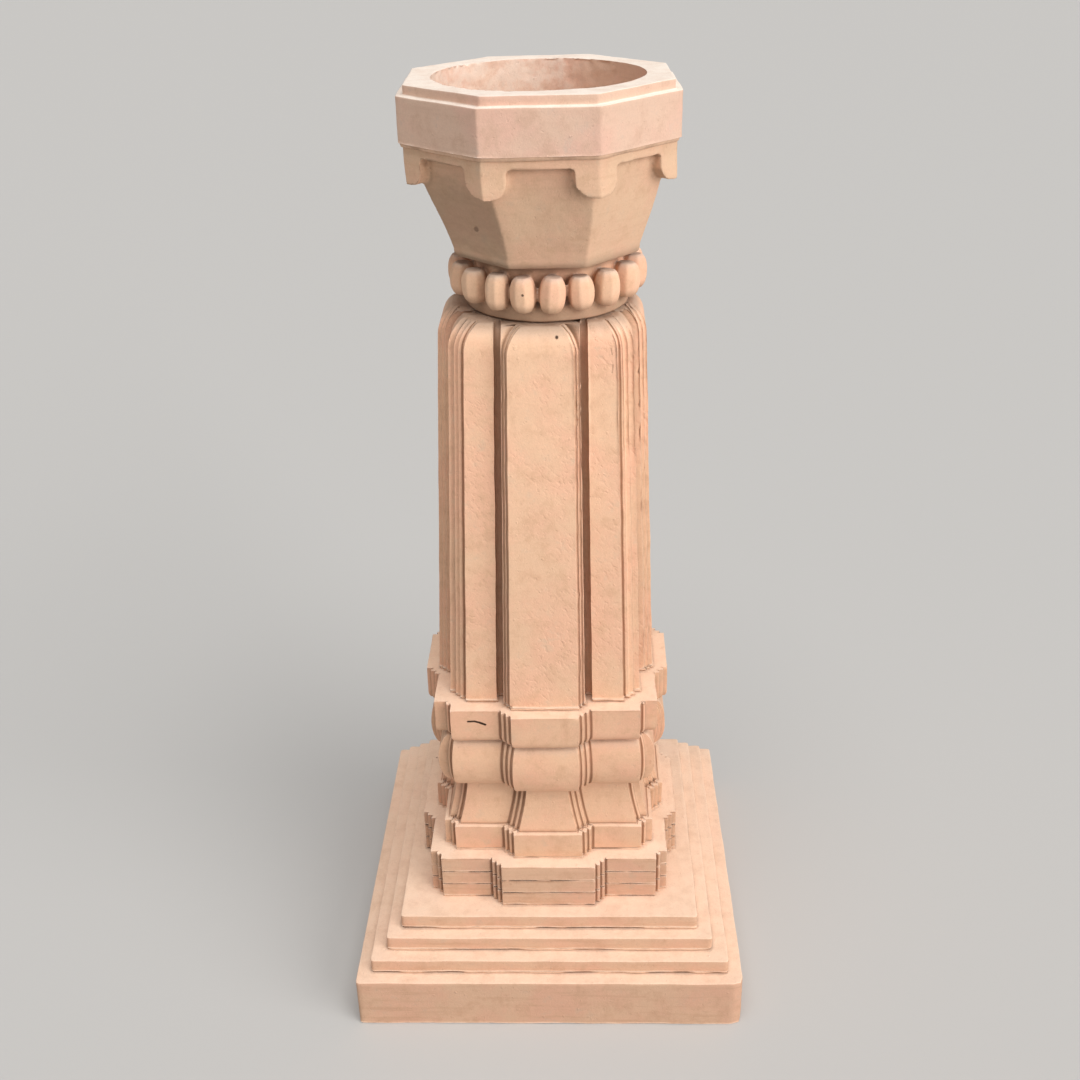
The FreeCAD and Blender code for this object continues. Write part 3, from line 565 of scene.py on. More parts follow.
class Graph:
    """Adds nodes to one tree."""

    def __init__(self, tree):
        self.tree = tree

    def add(self, kind, choices=None, feeds=None, output=0):
        """A node of a kind, with its choices set before its sockets are fed."""
        made = self.tree.nodes.new(kind)
        for name, value in (choices or {}).items():
            setattr(made, name, value)
        for key, value in (feeds or {}).items():
            if isinstance(value, Socket):
                self.tree.links.new(value.link, made.inputs[key])
            else:
                made.inputs[key].default_value = value
        return Socket(self, made.outputs[output]) if made.outputs else made

    def maths(self, operation, *values):
        return self.add("ShaderNodeMath", {"operation": operation}, dict(enumerate(values)))

    def vectors(self, operation, *values, output=0):
        return self.add("ShaderNodeVectorMath", {"operation": operation},
                        dict(enumerate(values)), output)

    def measured(self, operation, *values):
        """A number worked out from vectors."""
        return self.vectors(operation, *values, output="Value")

    def scaled(self, vector, amount):
        return self.add("ShaderNodeVectorMath", {"operation": "SCALE"},
                        {0: vector, "Scale": amount})

    def ramp(self, value, start, finish):
        """Rises smoothly from 0 at start to 1 at finish."""
        return self.add("ShaderNodeMapRange", {"interpolation_type": "SMOOTHSTEP"},
                        {"Value": value, "From Min": start, "From Max": finish})

    def blend(self, amount, first, second):
        """A colour between two colours."""
        return self.add("ShaderNodeMix", {"data_type": "RGBA"}, {0: amount, 6: first, 7: second}, 2)

    def noise(self, place, size, detail=2.0, roughness=0.5, output=0):
        """Cloudy noise whose lumps are about this big."""
        return self.add("ShaderNodeTexNoise", None, {
            "Vector": place, "Scale": 1 / size, "Detail": detail, "Roughness": roughness}, output)

    def place(self):
        """Where a point of the surface lies on its piece."""
        return self.add("ShaderNodeTexCoord", None, None, "Object")

    def stored(self, name):
        """A number that was kept at every point of a piece."""
        return self.add("ShaderNodeAttribute", {"attribute_name": name}, None, "Fac")

    def shape(self, piece):
        """The geometry of another piece."""
        return self.add("GeometryNodeObjectInfo", None, {"Object": piece}, "Geometry")

    def joined(self, *parts):
        """Several geometries as one."""
        made = self.add("GeometryNodeJoinGeometry")
        for part in parts:
            self.tree.links.new(part.link, made.link.node.inputs[0])
        return made


def rgba(colour, *by):
    """A colour with its alpha, made darker or lighter by one number or one for each part."""
    by = by if len(by) == len(colour) else len(colour) * (by or (1.0,))
    return (*(part * share for part, share in zip(colour, by)), 1.0)


# Weathering, as one tree of geometry nodes that every stone goes through

SENSE_RAYS = 14
WEAR_RAYS = 6
# How far rays spread from the way that a face looks, how much they tend upwards, and how far
# off the face they start
RAY_SPREAD = 0.97
# Rays that tend upwards count undersides as closed in, so the painted shade also falls under
# overhangs
RAY_LIFT = 0.45
RAY_START = 0.6 * MM
GRIME_AND_SHADE_REACH = 14 * MM
WEAR_REACH = 5 * MM
PIT_SIZE = 9 * MM
# How closed in an edge is where wear on it starts, and where it is full
EDGE_LOW, EDGE_HIGH = 0.12, 0.4
GROUND_HALF = 1.0
# How much deeper dressing marks and chips are where a stone took knocks
DRESSING_BATTERED = 4
CHIPS_BATTERED = 2.5
# How a stone's seed moves its noise
SEED_WAY = (1.0, 0.37, 0.71)

WEATHER_INPUTS = (
    ("Stone", "NodeSocketGeometry"),
    ("Surroundings", "NodeSocketObject"),
    ("Finish", "NodeSocketMaterial"),
    ("Offset", "NodeSocketVector"),
    ("Wave depth", "NodeSocketFloat"),
    ("Wave size", "NodeSocketFloat"),
    ("Drift", "NodeSocketFloat"),
    ("Dressing depth", "NodeSocketFloat"),
    ("Dressing size", "NodeSocketFloat"),
    ("Chip depth", "NodeSocketFloat"),
    ("Chip size", "NodeSocketFloat"),
    ("Pit depth", "NodeSocketFloat"),
    ("Pit radius", "NodeSocketFloat"),
    ("Battered place", "NodeSocketVector"),
    ("Battered reach", "NodeSocketFloat"),
)


def new_tree(name, inputs):
    """An empty tree of geometry nodes with named inputs, and its first graph socket."""
    tree = bpy.data.node_groups.new(name, "GeometryNodeTree")
    for label, kind in inputs:
        tree.interface.new_socket(name=label, in_out="INPUT", socket_type=kind)
    tree.interface.new_socket(name="Stone", in_out="OUTPUT", socket_type="NodeSocketGeometry")
    graph = Graph(tree)
    return tree, graph, graph.add("NodeGroupInput")


def finish_tree(graph, geometry, material):
    """Ends a tree in plain geometry of one material."""
    plain = graph.add("GeometryNodeRealizeInstances", None, {"Geometry": geometry})
    smooth = graph.add("GeometryNodeSetShadeSmooth", None, {"Geometry": plain})
    painted = graph.add("GeometryNodeSetMaterial", None, {"Geometry": smooth, "Material": material})
    graph.add("NodeGroupOutput", None, {0: painted})


def run_tree(piece, tree, **values):
    """Puts a piece through a tree; each value is named for its input, with _ for a space."""
    modifier = piece.modifiers.new(tree.name, "NODES")
    modifier.node_group = tree
    places = {item.name: item.identifier for item in tree.interface.items_tree
              if item.in_out == "INPUT"}
    for name, value in values.items():
        modifier[places[name.replace("_", " ")]] = value
    bake_modifiers(piece)


def sphere_points(count):
    """Directions spread evenly over a sphere."""
    golden = math.pi * (3 - math.sqrt(5))
    points = []
    for index in range(count):
        height = 1 - (2 * index + 1) / count
        flat = math.sqrt(1 - height * height)
        points.append((flat * math.cos(golden * index), flat * math.sin(golden * index), height))
    return points


def sense(graph, target, start, facing, reach, rays, lift=0.0):
    """How closed in a place is on the side that it faces, from 0 to 1. With lift, the rays look
    more to the sky."""
    stopped = 0
    for point in sphere_points(rays):
        aim = tuple(RAY_SPREAD * part + rise for part, rise in zip(point, (0.0, 0.0, lift)))
        ray = graph.vectors("NORMALIZE", graph.vectors("ADD", facing, aim))
        hit = graph.add("GeometryNodeRaycast", None, {
            "Target Geometry": target, "Source Position": start,
            "Ray Direction": ray, "Ray Length": reach})
        stopped = hit * (1 - hit.other("Hit Distance") / reach) + stopped
    return stopped / rays


def keep(graph, geometry, name, value):
    """Stores a number at every point, for the material."""
    return graph.add("GeometryNodeStoreNamedAttribute", {"data_type": "FLOAT", "domain": "POINT"},
                     {"Geometry": geometry, "Name": name, "Value": value})


def weather_tree():
    """Senses grooves and edges, then adds waves, dressing marks, chips and pits."""
    tree, graph, given = new_tree("Weathered stone", WEATHER_INPUTS)
    stone = given.other("Stone")
    both = graph.joined(stone, graph.shape(given.other("Surroundings")))
    place = graph.add("GeometryNodeInputPosition")
    facing = graph.add("GeometryNodeInputNormal")
    outside = graph.vectors("ADD", place, graph.scaled(facing, RAY_START))
    inside = graph.vectors("ADD", place, graph.scaled(facing, -RAY_START))
    back = graph.scaled(facing, -1)
    # How closed in each point is: the finishes paint it dark, as dirt and as painted shade
    grime = sense(graph, both, outside, facing, GRIME_AND_SHADE_REACH, SENSE_RAYS, RAY_LIFT)
    edge = sense(graph, stone, inside, back, WEAR_REACH, WEAR_RAYS)
    sensed = keep(graph, keep(graph, stone, "grime", grime), "edge", edge)

    worn = graph.add("GeometryNodeInputNamedAttribute", {"data_type": "FLOAT"}, {"Name": "edge"})
    spot = graph.vectors("ADD", place, given.other("Offset"))
    wave = graph.noise(spot, given.other("Wave size"))
    wander = graph.noise(spot, given.other("Wave size"), output="Color")
    marks = graph.noise(spot, given.other("Dressing size"), 3.0, 0.6)
    chips = graph.ramp(graph.noise(spot, given.other("Chip size"), 3.0, 0.55), 0.5, 0.68)
    flat = graph.vectors("MULTIPLY", place, (1, 1, 0))
    in_hollow = graph.maths("LESS_THAN", graph.measured("LENGTH", flat), given.other("Pit radius"))
    in_hollow = in_hollow * graph.maths(
        "LESS_THAN", graph.measured("DOT_PRODUCT", flat, facing), 0.0)
    pits = graph.ramp(graph.noise(spot, PIT_SIZE, 3.0, 0.6), 0.42, 0.72) * in_hollow
    away = graph.measured("DISTANCE", place, given.other("Battered place"))
    battered = graph.ramp(away, given.other("Battered reach"), 0.0)
    sink = (given.other("Wave depth") * (1 - wave) * 2
            + given.other("Dressing depth") * (1 - marks) * (2 + DRESSING_BATTERED * battered)
            + given.other("Chip depth") * chips * graph.ramp(worn, EDGE_LOW, EDGE_HIGH)
            * (1 + CHIPS_BATTERED * battered)
            + given.other("Pit depth") * pits)
    sideways = graph.scaled(graph.vectors("SUBTRACT", wander, (HALF, HALF, HALF)),
                            given.other("Drift") * 2)
    offset = graph.vectors("ADD", graph.scaled(facing, 0 - sink), sideways)
    moved = graph.add("GeometryNodeSetPosition", None, {"Geometry": sensed, "Offset": offset})
    finish_tree(graph, moved, given.other("Finish"))
    return tree


def surroundings(nodes):
    """One mesh of the ground and every solid of the frame except some nodes, for sensing."""
    points = [np.array([(x * GROUND_HALF, y * GROUND_HALF, 0.0) for x, y in SQUARE])]
    faces = [(0, 1, 2), (0, 2, 3)]
    count = len(SQUARE)
    for name, node in sorted(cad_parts.items()):
        if name in nodes:
            continue
        mesh = node.data
        corners = np.empty(len(mesh.vertices) * 3)
        mesh.vertices.foreach_get("co", corners)
        ties = np.empty(len(mesh.loops), int)
        mesh.loops.foreach_get("vertex_index", ties)
        points.append(corners.reshape(-1, 3))
        faces += (ties.reshape(-1, 3) + count).tolist()
        count += len(points[-1])
    made = new_piece("surroundings", np.concatenate(points), faces)
    made.hide_render = True
    return made


def tree_named(name, build):
    """A tree, built the first time that it is asked for."""
    return bpy.data.node_groups.get(name) or build()


def clip_to_frame(points):
    """Keeps points inside the box of the frame's solids."""
    return np.clip(points, tuple(CAD_BOX[0]), tuple(CAD_BOX[1]))


def weather(piece, nodes, material, seed, roughness=1.0, pit_depth=0.0, pit_radius=0.0,
            battered=(0.0, 0.0, 0.0), battered_reach=1 * MM):
    """Wears a stone's surface and paints it."""
    wear = settings("wear")
    around = surroundings(nodes)
    tree = tree_named("Weathered stone", weather_tree)
    run_tree(
        piece, tree, Surroundings=around, Finish=material,
        Offset=tuple(seed * part for part in SEED_WAY),
        Wave_depth=wear.wave * roughness, Wave_size=wear.wave_size, Drift=wear.drift * roughness,
        Dressing_depth=wear.dressing * roughness, Dressing_size=wear.dressing_size,
        Chip_depth=wear.chip * roughness, Chip_size=wear.chip_size,
        Pit_depth=pit_depth, Pit_radius=pit_radius, Battered_place=battered,
        Battered_reach=battered_reach)
    forget(around)
    edit_points(piece, clip_to_frame)


def fit(piece, body, slot, *nodes):
    """Hands a finished piece to the frame in place of some nodes."""
    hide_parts(*nodes)
    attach(piece, body)


# Materials

def new_material(name):
    """An empty material: its graph and its surface shader."""
    material = bpy.data.materials.new(name)
    material.use_nodes = True
    tree = material.node_tree
    tree.nodes.clear()
    graph = Graph(tree)
    surface = graph.add("ShaderNodeBsdfPrincipled")
    graph.add("ShaderNodeOutputMaterial", None, {"Surface": surface})
    return material, graph, surface.link.node


def feed(graph, surface, **feeds):
    """Feeds sockets of the surface shader, named with _ for a space."""
    for name, value in feeds.items():
        socket = surface.inputs[name.replace("_", " ")]
        if isinstance(value, Socket):
            graph.tree.links.new(value.link, socket)
        else:
            socket.default_value = value


# Marks are drawn from the front, so their depth counts for little
MARK_SQUASH = Vector((1, 0.12, 1))
# Which way the tool marks run, and how much they are drawn out
STROKE_WAY = Vector((0.5, 0.5, -0.7)).normalized()
STROKE_PULL = 0.87
DEEP_TONE = (0.87, 0.82, 0.79)
ROSY_TONE = (1.03, 0.94, 0.96)
COOL_TONE = (0.90, 0.95, 1.0)


def near_line(graph, place, start, finish, radius):
    """1 along a short line on a front face, falling to 0 at a distance from it."""
    start, finish = Vector(start) * MARK_SQUASH, Vector(finish) * MARK_SQUASH
    along = finish - start
    step = graph.vectors("SUBTRACT", place, tuple(start))
    t = graph.measured("DOT_PRODUCT", step, tuple(along / along.length_squared))
    t = graph.add("ShaderNodeClamp", None, {"Value": t})
    step = graph.vectors("SUBTRACT", step, graph.scaled(tuple(along), t))
    return graph.ramp(graph.measured("LENGTH", step), radius, radius * HALF)


def sandstone(name, main, dusty, dust_share=0.8, streaks=0.0, tooling=0.0, inside=0.0,
              under=0.0, fades=(), marks=()):
    """Cut sandstone: mottled, grainy and pitted, pale where dust lies, dark in its grooves with
    dirt and painted shade.
    inside pales the wall of the mouth, under paints shade on faces that look down to the left, and
    each fade is two heights between which the stone gets darker, and by how much; on the shaft,
    beads and bowl this is painted shade."""
    colours = settings("colours")
    material, graph, surface = new_material(name)
    place = graph.place()
    facing = graph.add("ShaderNodeNewGeometry", None, None, "Normal")
    grime = graph.stored("grime")
    edge = graph.stored("edge")
    clouds = graph.noise(place, 60 * MM, 4.0, 0.6)
    patches = graph.noise(place, 16 * MM, 5.0, 0.68)
    bedding = graph.noise(graph.vectors("MULTIPLY", place, (0.12, 0.12, 2)), 12 * MM, 5.0, 0.62)
    grain = graph.noise(place, 1.7 * MM, 3.0, 0.7)
    speckle = graph.noise(place, 0.8 * MM, 2.0, 0.6)

    deep = rgba(main, *DEEP_TONE)
    stone = graph.blend(graph.ramp(clouds, 0.38, 0.66), rgba(main), rgba(main, *ROSY_TONE))
    stone = graph.blend(graph.ramp(patches, 0.47, 0.72) * 0.75, stone, deep)
    stone = graph.blend(graph.ramp(patches, 0.44, 0.27) * 0.7, stone, rgba(main, *COOL_TONE))
    stone = graph.blend(graph.ramp(bedding, 0.5, 0.74) * (0.25 + streaks), stone, deep)
    up = graph.add("ShaderNodeSeparateXYZ", None, {0: facing}, "Z")
    # Painted shade: faces that look down and to the left are darkened
    if under:
        painted_lee_shade = graph.ramp(up, -0.12, -0.4) * graph.ramp(up.other("X"), 0.35, -0.45)
        stone = graph.blend(painted_lee_shade * under, stone, rgba(main, 0.45))
    dust = graph.ramp(up, 0.3, 0.9) * (0.7 + 0.3 * graph.ramp(patches, 0.7, 0.35)) * dust_share
    if inside:
        mouth = settings("top").mouth_radius
        flat = graph.vectors("MULTIPLY", place, (1, 1, 0))
        out = graph.measured("LENGTH", flat)
        inward = graph.measured("DOT_PRODUCT", facing, flat)
        lime = graph.ramp(out, mouth + 2.5 * MM, mouth + 1.5 * MM) * graph.ramp(inward, 0, -0.03)
        lime = lime * inside
        dust = graph.maths("MAXIMUM", dust, lime * graph.ramp(patches, 0.3, 0.6))
    stone = graph.blend(dust, stone, rgba(dusty))
    rubbed = graph.ramp(edge, EDGE_LOW, EDGE_HIGH) * (0.35 + 0.65 * graph.ramp(clouds, 0.3, 0.6))
    stone = graph.blend(rubbed * 0.8, stone, rgba(colours.worn))
    tint = 0.9 + 0.2 * grain
    level = graph.add("ShaderNodeSeparateXYZ", None, {0: place}, "Z")
    # Each fade darkens the stone between two heights; on the shaft, beads and bowl it is painted
    # shade
    for start, finish, amount in fades:
        tint = tint * (1 - amount * graph.ramp(level, start, finish))
    stone = graph.vectors("MULTIPLY", stone, graph.add(
        "ShaderNodeCombineXYZ", None, {0: tint, 1: tint, 2: tint}))
    dark_grain = graph.ramp(speckle, 0.62, 0.72)
    stone = graph.blend(dark_grain * 0.16, stone, rgba(colours.grime))
    # Painted shade with dirt: darker where a point is closed in, in grooves and hollows and under
    # overhangs, less on dusty tops
    depth = graph.ramp(grime + (patches - HALF) * 0.2, 0.13, 0.5)
    stone = graph.blend(depth * (0.5 - 0.38 * dust), stone, rgba(colours.grime))
    cut = None
    squashed = graph.vectors("MULTIPLY", place, tuple(MARK_SQUASH))
    for start, finish, radius, strength in marks:
        line = near_line(graph, squashed, start, finish, radius) * strength
        cut = line if cut is None else graph.maths("MAXIMUM", cut, line)
    if cut is not None:
        stone = graph.blend(cut, stone, rgba(colours.grime, 0.25))

    roughness = 0.84 + 0.12 * grain
    pores = graph.ramp(graph.noise(place, 3.2 * MM, 3.0, 0.6), 0.6, 0.78)
    crumbs = graph.ramp(graph.noise(place, 7 * MM, 2.0, 0.5), 0.7, 0.76)
    height = (0.32 * grain + 0.15 * speckle + 0.6 * patches - 0.5 * pores + 0.5 * crumbs
              + 0.5 * streaks * bedding)
    if tooling:
        along = graph.measured("DOT_PRODUCT", place, tuple(STROKE_WAY))
        drawn = graph.vectors("SUBTRACT", place, graph.scaled(
            tuple(STROKE_PULL * STROKE_WAY), along))
        strokes = graph.ramp(graph.noise(drawn, 3.6 * MM, 2.0, 0.5), 0.5, 0.75)
        height = height - tooling * strokes * graph.ramp(clouds, 0.4, 0.6)
    if cut is not None:
        height = height - 3.0 * cut
    bump = graph.add("ShaderNodeBump", None, {
        "Strength": 0.9, "Distance": 0.6 * MM, "Height": height})
    feed(graph, surface, Base_Color=stone, Roughness=roughness, Normal=bump)
    surface.inputs["Specular IOR Level"].default_value = 0.2
    return material


def mortar_finish(name):
    """Old lime mortar: buff where it is flush, dark where it lies back, with dirt and painted shade
    of the recess.
    """
    colours = settings("colours")
    material, graph, surface = new_material(name)
    place = graph.place()
    grime = graph.stored("grime")
    back = graph.stored("back")
    lumps = graph.noise(place, 4 * MM, 4.0, 0.6)
    paste = graph.blend(graph.ramp(lumps, 0.35, 0.7), rgba(colours.mortar, 1.15),
                        rgba(colours.mortar))
    # Dirt and painted shade: darker the further the mortar lies back and the more closed in it is
    dirt_and_shade = graph.ramp(back, 0.2 * MM, 1.5 * MM) * 0.95 + graph.ramp(grime, 0.6, 1.0) * 0.15
    paste = graph.blend(dirt_and_shade, paste, rgba(colours.grime))
    bump = graph.add("ShaderNodeBump", None, {
        "Strength": 1.0, "Distance": 0.6 * MM, "Height": lumps})
    feed(graph, surface, Base_Color=paste, Roughness=0.93, Normal=bump)
    return material


def steel_finish(name):
    """Drawn steel rod with fine scratches along it."""
    colours = settings("colours")
    material, graph, surface = new_material(name)
    place = graph.place()
    drawn = graph.noise(graph.vectors("MULTIPLY", place, (1, 1, 0.03)), 0.5 * MM, 3.0, 0.6)
    tone = graph.blend(drawn, rgba(colours.steel, 0.7), rgba(colours.steel))
    feed(graph, surface, Base_Color=tone, Roughness=0.28 + 0.22 * drawn, Metallic=1.0)
    return material


def pipe_finish(name):
    """Matt grey plastic pipe, a little dusty."""
    colours = settings("colours")
    material, graph, surface = new_material(name)
    place = graph.place()
    dusty = graph.noise(place, 12 * MM, 4.0, 0.6)
    tone = graph.blend(graph.ramp(dusty, 0.4, 0.75) * 0.5, rgba(colours.pipe), rgba(colours.mortar))
    feed(graph, surface, Base_Color=tone, Roughness=0.45 + 0.25 * dusty)
    return material


def material_named(name, build, **choices):
    """A material, built the first time that it is asked for."""
    return bpy.data.materials.get(name) or build(name, **choices)


# Marks that one stone or another carries: two ends of a line, its radius and its strength
LEDGE_MARKS = (
    ((-0.0769, -0.1104, 0.3214), (-0.0705, -0.1104, 0.3217), 0.0012, 1.0),
    ((-0.0705, -0.1104, 0.3217), (-0.0655, -0.1104, 0.3202), 0.0013, 1.0),
    ((-0.0655, -0.1104, 0.3202), (-0.0600, -0.1104, 0.3178), 0.0015, 1.0),
)
SHAFT_MARKS = (
    ((0.0172, -0.1005, 0.7118), (0.0172, -0.0985, 0.7118), 0.0021, 0.95),
    ((0.0645, -0.0880, 0.6985), (0.0655, -0.0880, 0.6925), 0.0011, 0.3),
    ((0.0662, -0.0880, 0.6830), (0.0655, -0.0880, 0.6760), 0.0012, 0.25),
)
BEAD_MARKS = (((-0.0115, -0.0930, 0.7490), (-0.0115, -0.0910, 0.7490), 0.0014, 0.8),)
BOWL_MARKS = (((-0.0500, -0.0900, 0.8040), (-0.0500, -0.0760, 0.8020), 0.0028, 0.5),)


def stone_for(group):
    """The sandstone of one group of pieces."""
    colours = settings("colours")
    choices = {
        "slabs": dict(main=colours.slabs, dusty=colours.dust, dust_share=0.75, streaks=0.7,
                      fades=((0.0575, 0.052, 0.1),)),
        "foot": dict(main=colours.slabs, dusty=colours.dust, dust_share=0.9, streaks=0.6,
                     fades=((0.156, 0.15, 0.06),)),
        "courses": dict(main=colours.courses, dusty=colours.dust, marks=LEDGE_MARKS),
        "shaft": dict(main=colours.shaft, dusty=colours.dust, tooling=0.5,
                      # Painted shade: darker low on the shaft and just under the bead ring
                      fades=((0.64, 0.42, 0.1), (0.709, 0.7195, 0.35)), marks=SHAFT_MARKS),
        "beads": dict(main=colours.shaft, dusty=colours.rim_dust, dust_share=0.5,
                      # Painted shade: darker on the beads' lower part and the plate below them, and
                      # just under the bowl
                      fades=((0.741, 0.73, 0.4), (0.759, 0.765, 0.3)), marks=BEAD_MARKS),
        "bowl": dict(main=colours.bowl, dusty=colours.rim_dust, dust_share=0.95,
                     # under: painted shade on the bowl's faces that look down to the left
                     streaks=0.2, inside=0.5, under=0.55,
                     # Painted shade: darker at the bowl's foot above the beads
                     fades=((0.782, 0.771, 0.3),), marks=BOWL_MARKS),
        "rim": dict(main=colours.rim, dusty=colours.rim_dust, dust_share=0.95,
                    streaks=0.2, inside=0.5),
    }[group]
    return material_named("Sandstone " + group, sandstone, **choices)


# Stones

SLABS = ("plinth_slab", "lower_step_slab", "middle_step_slab", "upper_step_slab")
FOOT_LAYERS = ("foot_lower_layer", "foot_middle_layer", "foot_upper_layer")
LIP = 20 * MM
UNDERSIDE = 6 * MM
# Half the square inside a stone's top where its mesh turns from its outline to its bore
SLAB_CORE = 130 * MM
COURSE_CORE = 70 * MM
FOOT_CORE = 90 * MM
SHAFT_CORE = 52 * MM
SLAB_CORNER = 4 * MM
WORN_CORNER = 11 * MM
# Distance between points as a share of the usual one
SLAB_SPACING = 1.3
SHAFT_SPACING = 1.15
SHAFT_SIDE_SPACING = 1.35
BED_SPACING = 2
# How far a stone stands into a joint, which leaves a thin line
CLOSING = 0.3 * MM


def square_plan(node, rounding, spacing, front_right=None):
    """A square outline, whose front right corner can be worn rounder."""
    half = reach(node)
    corners = four_sides([(half, half, rounding, 1.0, 1.0)])
    if front_right:
        corners[0] = (half, -half, front_right, 1.0, 1.0)
    return Plan(corners, spacing)


def slab(node, seed):
    """One square slab with worn edges."""
    wear = settings("wear")
    plan = square_plan(node, SLAB_CORNER, wear.spacing * SLAB_SPACING,
                       WORN_CORNER if node == SLABS[0] else None)
    bottom = low(node) - (CLOSING if low(node) > 0 else 0)
    side = profile((UNDERSIDE, bottom), (0, bottom, wear.arris / 2),
                   (0, high(node), 1.3 * MM), (LIP, high(node)))
    rings = [plan.ring(inset, level) for inset, level in side]
    stone = bored(node + "_stone", rings, SLAB_CORE, settings("courses").tube_bore)
    weather(stone, [node], stone_for("slabs"), seed, 0.9)
    fit(stone, FOOT_BODY, "sandstone", node)


def course_stone(node, half, side, seed, core=COURSE_CORE, group="courses", roughness=1.0):
    """One stone of the stepped plan, from its half plan and its side profile."""
    rings = Plan(four_sides(half), settings("wear").spacing).stack(side)
    stone = bored(node + "_stone", rings, core, settings("courses").tube_bore)
    weather(stone, [node], stone_for(group), seed, roughness)
    fit(stone, FOOT_BODY, "sandstone", node)


def foot_layer(node, seed):
    """One of the three thin layers, flat with sharp edges."""
    plans, wear = settings("courses"), settings("wear")
    half = reeded(reach(node), plans.foot_panel, plans.foot_side, wear.arris)
    bottom, top = low(node) - CLOSING, high(node) + CLOSING
    side = profile((UNDERSIDE, bottom), (0, bottom, wear.arris / 2), (0, top, wear.arris / 2),
                   (EDGE_STRIP, top), (LIP, top))
    course_stone(node, half, side, seed, FOOT_CORE, "foot", 0.6)


GROOVE = 1 * MM
SLOPE_POWER = 1.5
SLOPE_STEPS = 16


def skirt(node, seed):
    """The skirt: an upright part, a flat lip with a groove, and a hollow slope."""
    plans, wear = settings("courses"), settings("wear")
    half = reeded(reach(node), plans.skirt_panel, plans.skirt_side, wear.arris)
    bottom, top = low(node), high(node)
    lip = bottom + plans.skirt_plinth
    start = lip + plans.skirt_riser
    side = [(UNDERSIDE, bottom), (0, bottom, wear.arris), (0, lip, wear.arris), (2 * MM, lip),
            (plans.skirt_lip - GROOVE, lip, wear.arris / 2),
            (plans.skirt_lip - GROOVE / 2, lip - GROOVE, wear.arris / 2),
            (plans.skirt_lip, lip - GROOVE, wear.arris / 2)]
    slope = plans.skirt_setback - plans.skirt_lip
    for step in range(SLOPE_STEPS + 1):
        t = step / SLOPE_STEPS
        side.append((plans.skirt_lip + slope * (1 - (1 - t) ** SLOPE_POWER),
                     start + (top - start) * t))
    side.append((LIP, top))
    course_stone(node, half, profile(*side), seed)


CUSHION_STEPS = 24
CUSHION_POWER = 2.1


def cushion(node, seed):
    """The roll, which swells out between two joints."""
    plans, wear = settings("courses"), settings("wear")
    half = reeded(reach(node), plans.cushion_panel, plans.cushion_side, 1.2 * wear.arris,
                  plans.cushion_end, plans.cushion_corner)
    middle, half_rise = (low(node) + high(node)) / 2, rise(node) / 2
    side = [(LIP, low(node))]
    for step in range(CUSHION_STEPS + 1):
        turn = math.pi / 2 * (2 * step / CUSHION_STEPS - 1)
        up = math.copysign(abs(math.sin(turn)) ** (2 / CUSHION_POWER), turn)
        inset = plans.cushion_bulge * (1 - math.cos(turn) ** (2 / CUSHION_POWER))
        side.append((inset, middle + half_rise * up))
    side.append((LIP, high(node)))
    course_stone(node, half, profile(*side), seed)


LEDGE_STEPS = 5


def ledge(node, seed):
    """The flat band, rounded in below and sharp above."""
    plans, wear = settings("courses"), settings("wear")
    half = reeded(reach(node), plans.ledge_panel, plans.ledge_side, wear.arris)
    bottom, top = low(node), high(node)
    side = [(LIP / 2, bottom)]
    for step in range(LEDGE_STEPS + 1):
        turn = math.pi / 2 * step / LEDGE_STEPS
        side.append((plans.ledge_undercut * (1 - math.sin(turn)),
                     bottom + plans.ledge_undercut_rise * (1 - math.cos(turn))))
    side += [(0, top, wear.arris), (EDGE_STRIP, top), (LIP, top)]
    course_stone(node, half, profile(*side), seed)


# Where the shaft took knocks, and how far round
BATTERED_PLACE = (0.085, -0.075, 0.68)
BATTERED_REACH = 0.14
SHAFT_LEAN_START = 1 * MM
SHAFT_LIP = 8 * MM
SHOULDER_STEPS = 10


def shaft_half():
    """Half of the shaft's front: panel, reeds, channel, side panel and corner reeds. The walls of
    the channel take no inset sideways."""
    plan, round_off = settings("shaft"), settings("wear").arris
    groove = plan.quirk_depth, plan.quirk_width
    front = reach("shaft")
    half = []
    for reeds in range(SHAFT_REEDS):
        x = plan.panel + reeds * plan.reed_width
        half.append((x, front - reeds * plan.reed_depth, round_off, 1.0, 1.0))
        half += quirk(x, front - (reeds + 1) * plan.reed_depth, *groove)
    near = plan.panel + SHAFT_REEDS * plan.reed_width
    far = near + plan.channel
    return half + [
        (near, front - SHAFT_REEDS * plan.reed_depth, round_off, 0.0, 1.0),
        (near, plan.corner_half, round_off, 0.0, 1.0),
        (far, plan.corner_half, round_off, 0.0, 1.0),
        (far, plan.side_reach, round_off, 0.0, 1.0),
        (plan.side_half, plan.side_reach, round_off, 1.0, 1.0),
        *quirk(plan.side_half, plan.corner_reach, *groove),
        (plan.corner_half, plan.corner_reach, round_off, 1.0, 1.0),
        (plan.corner_half, plan.corner_half, round_off, 1.0, 1.0),
    ]


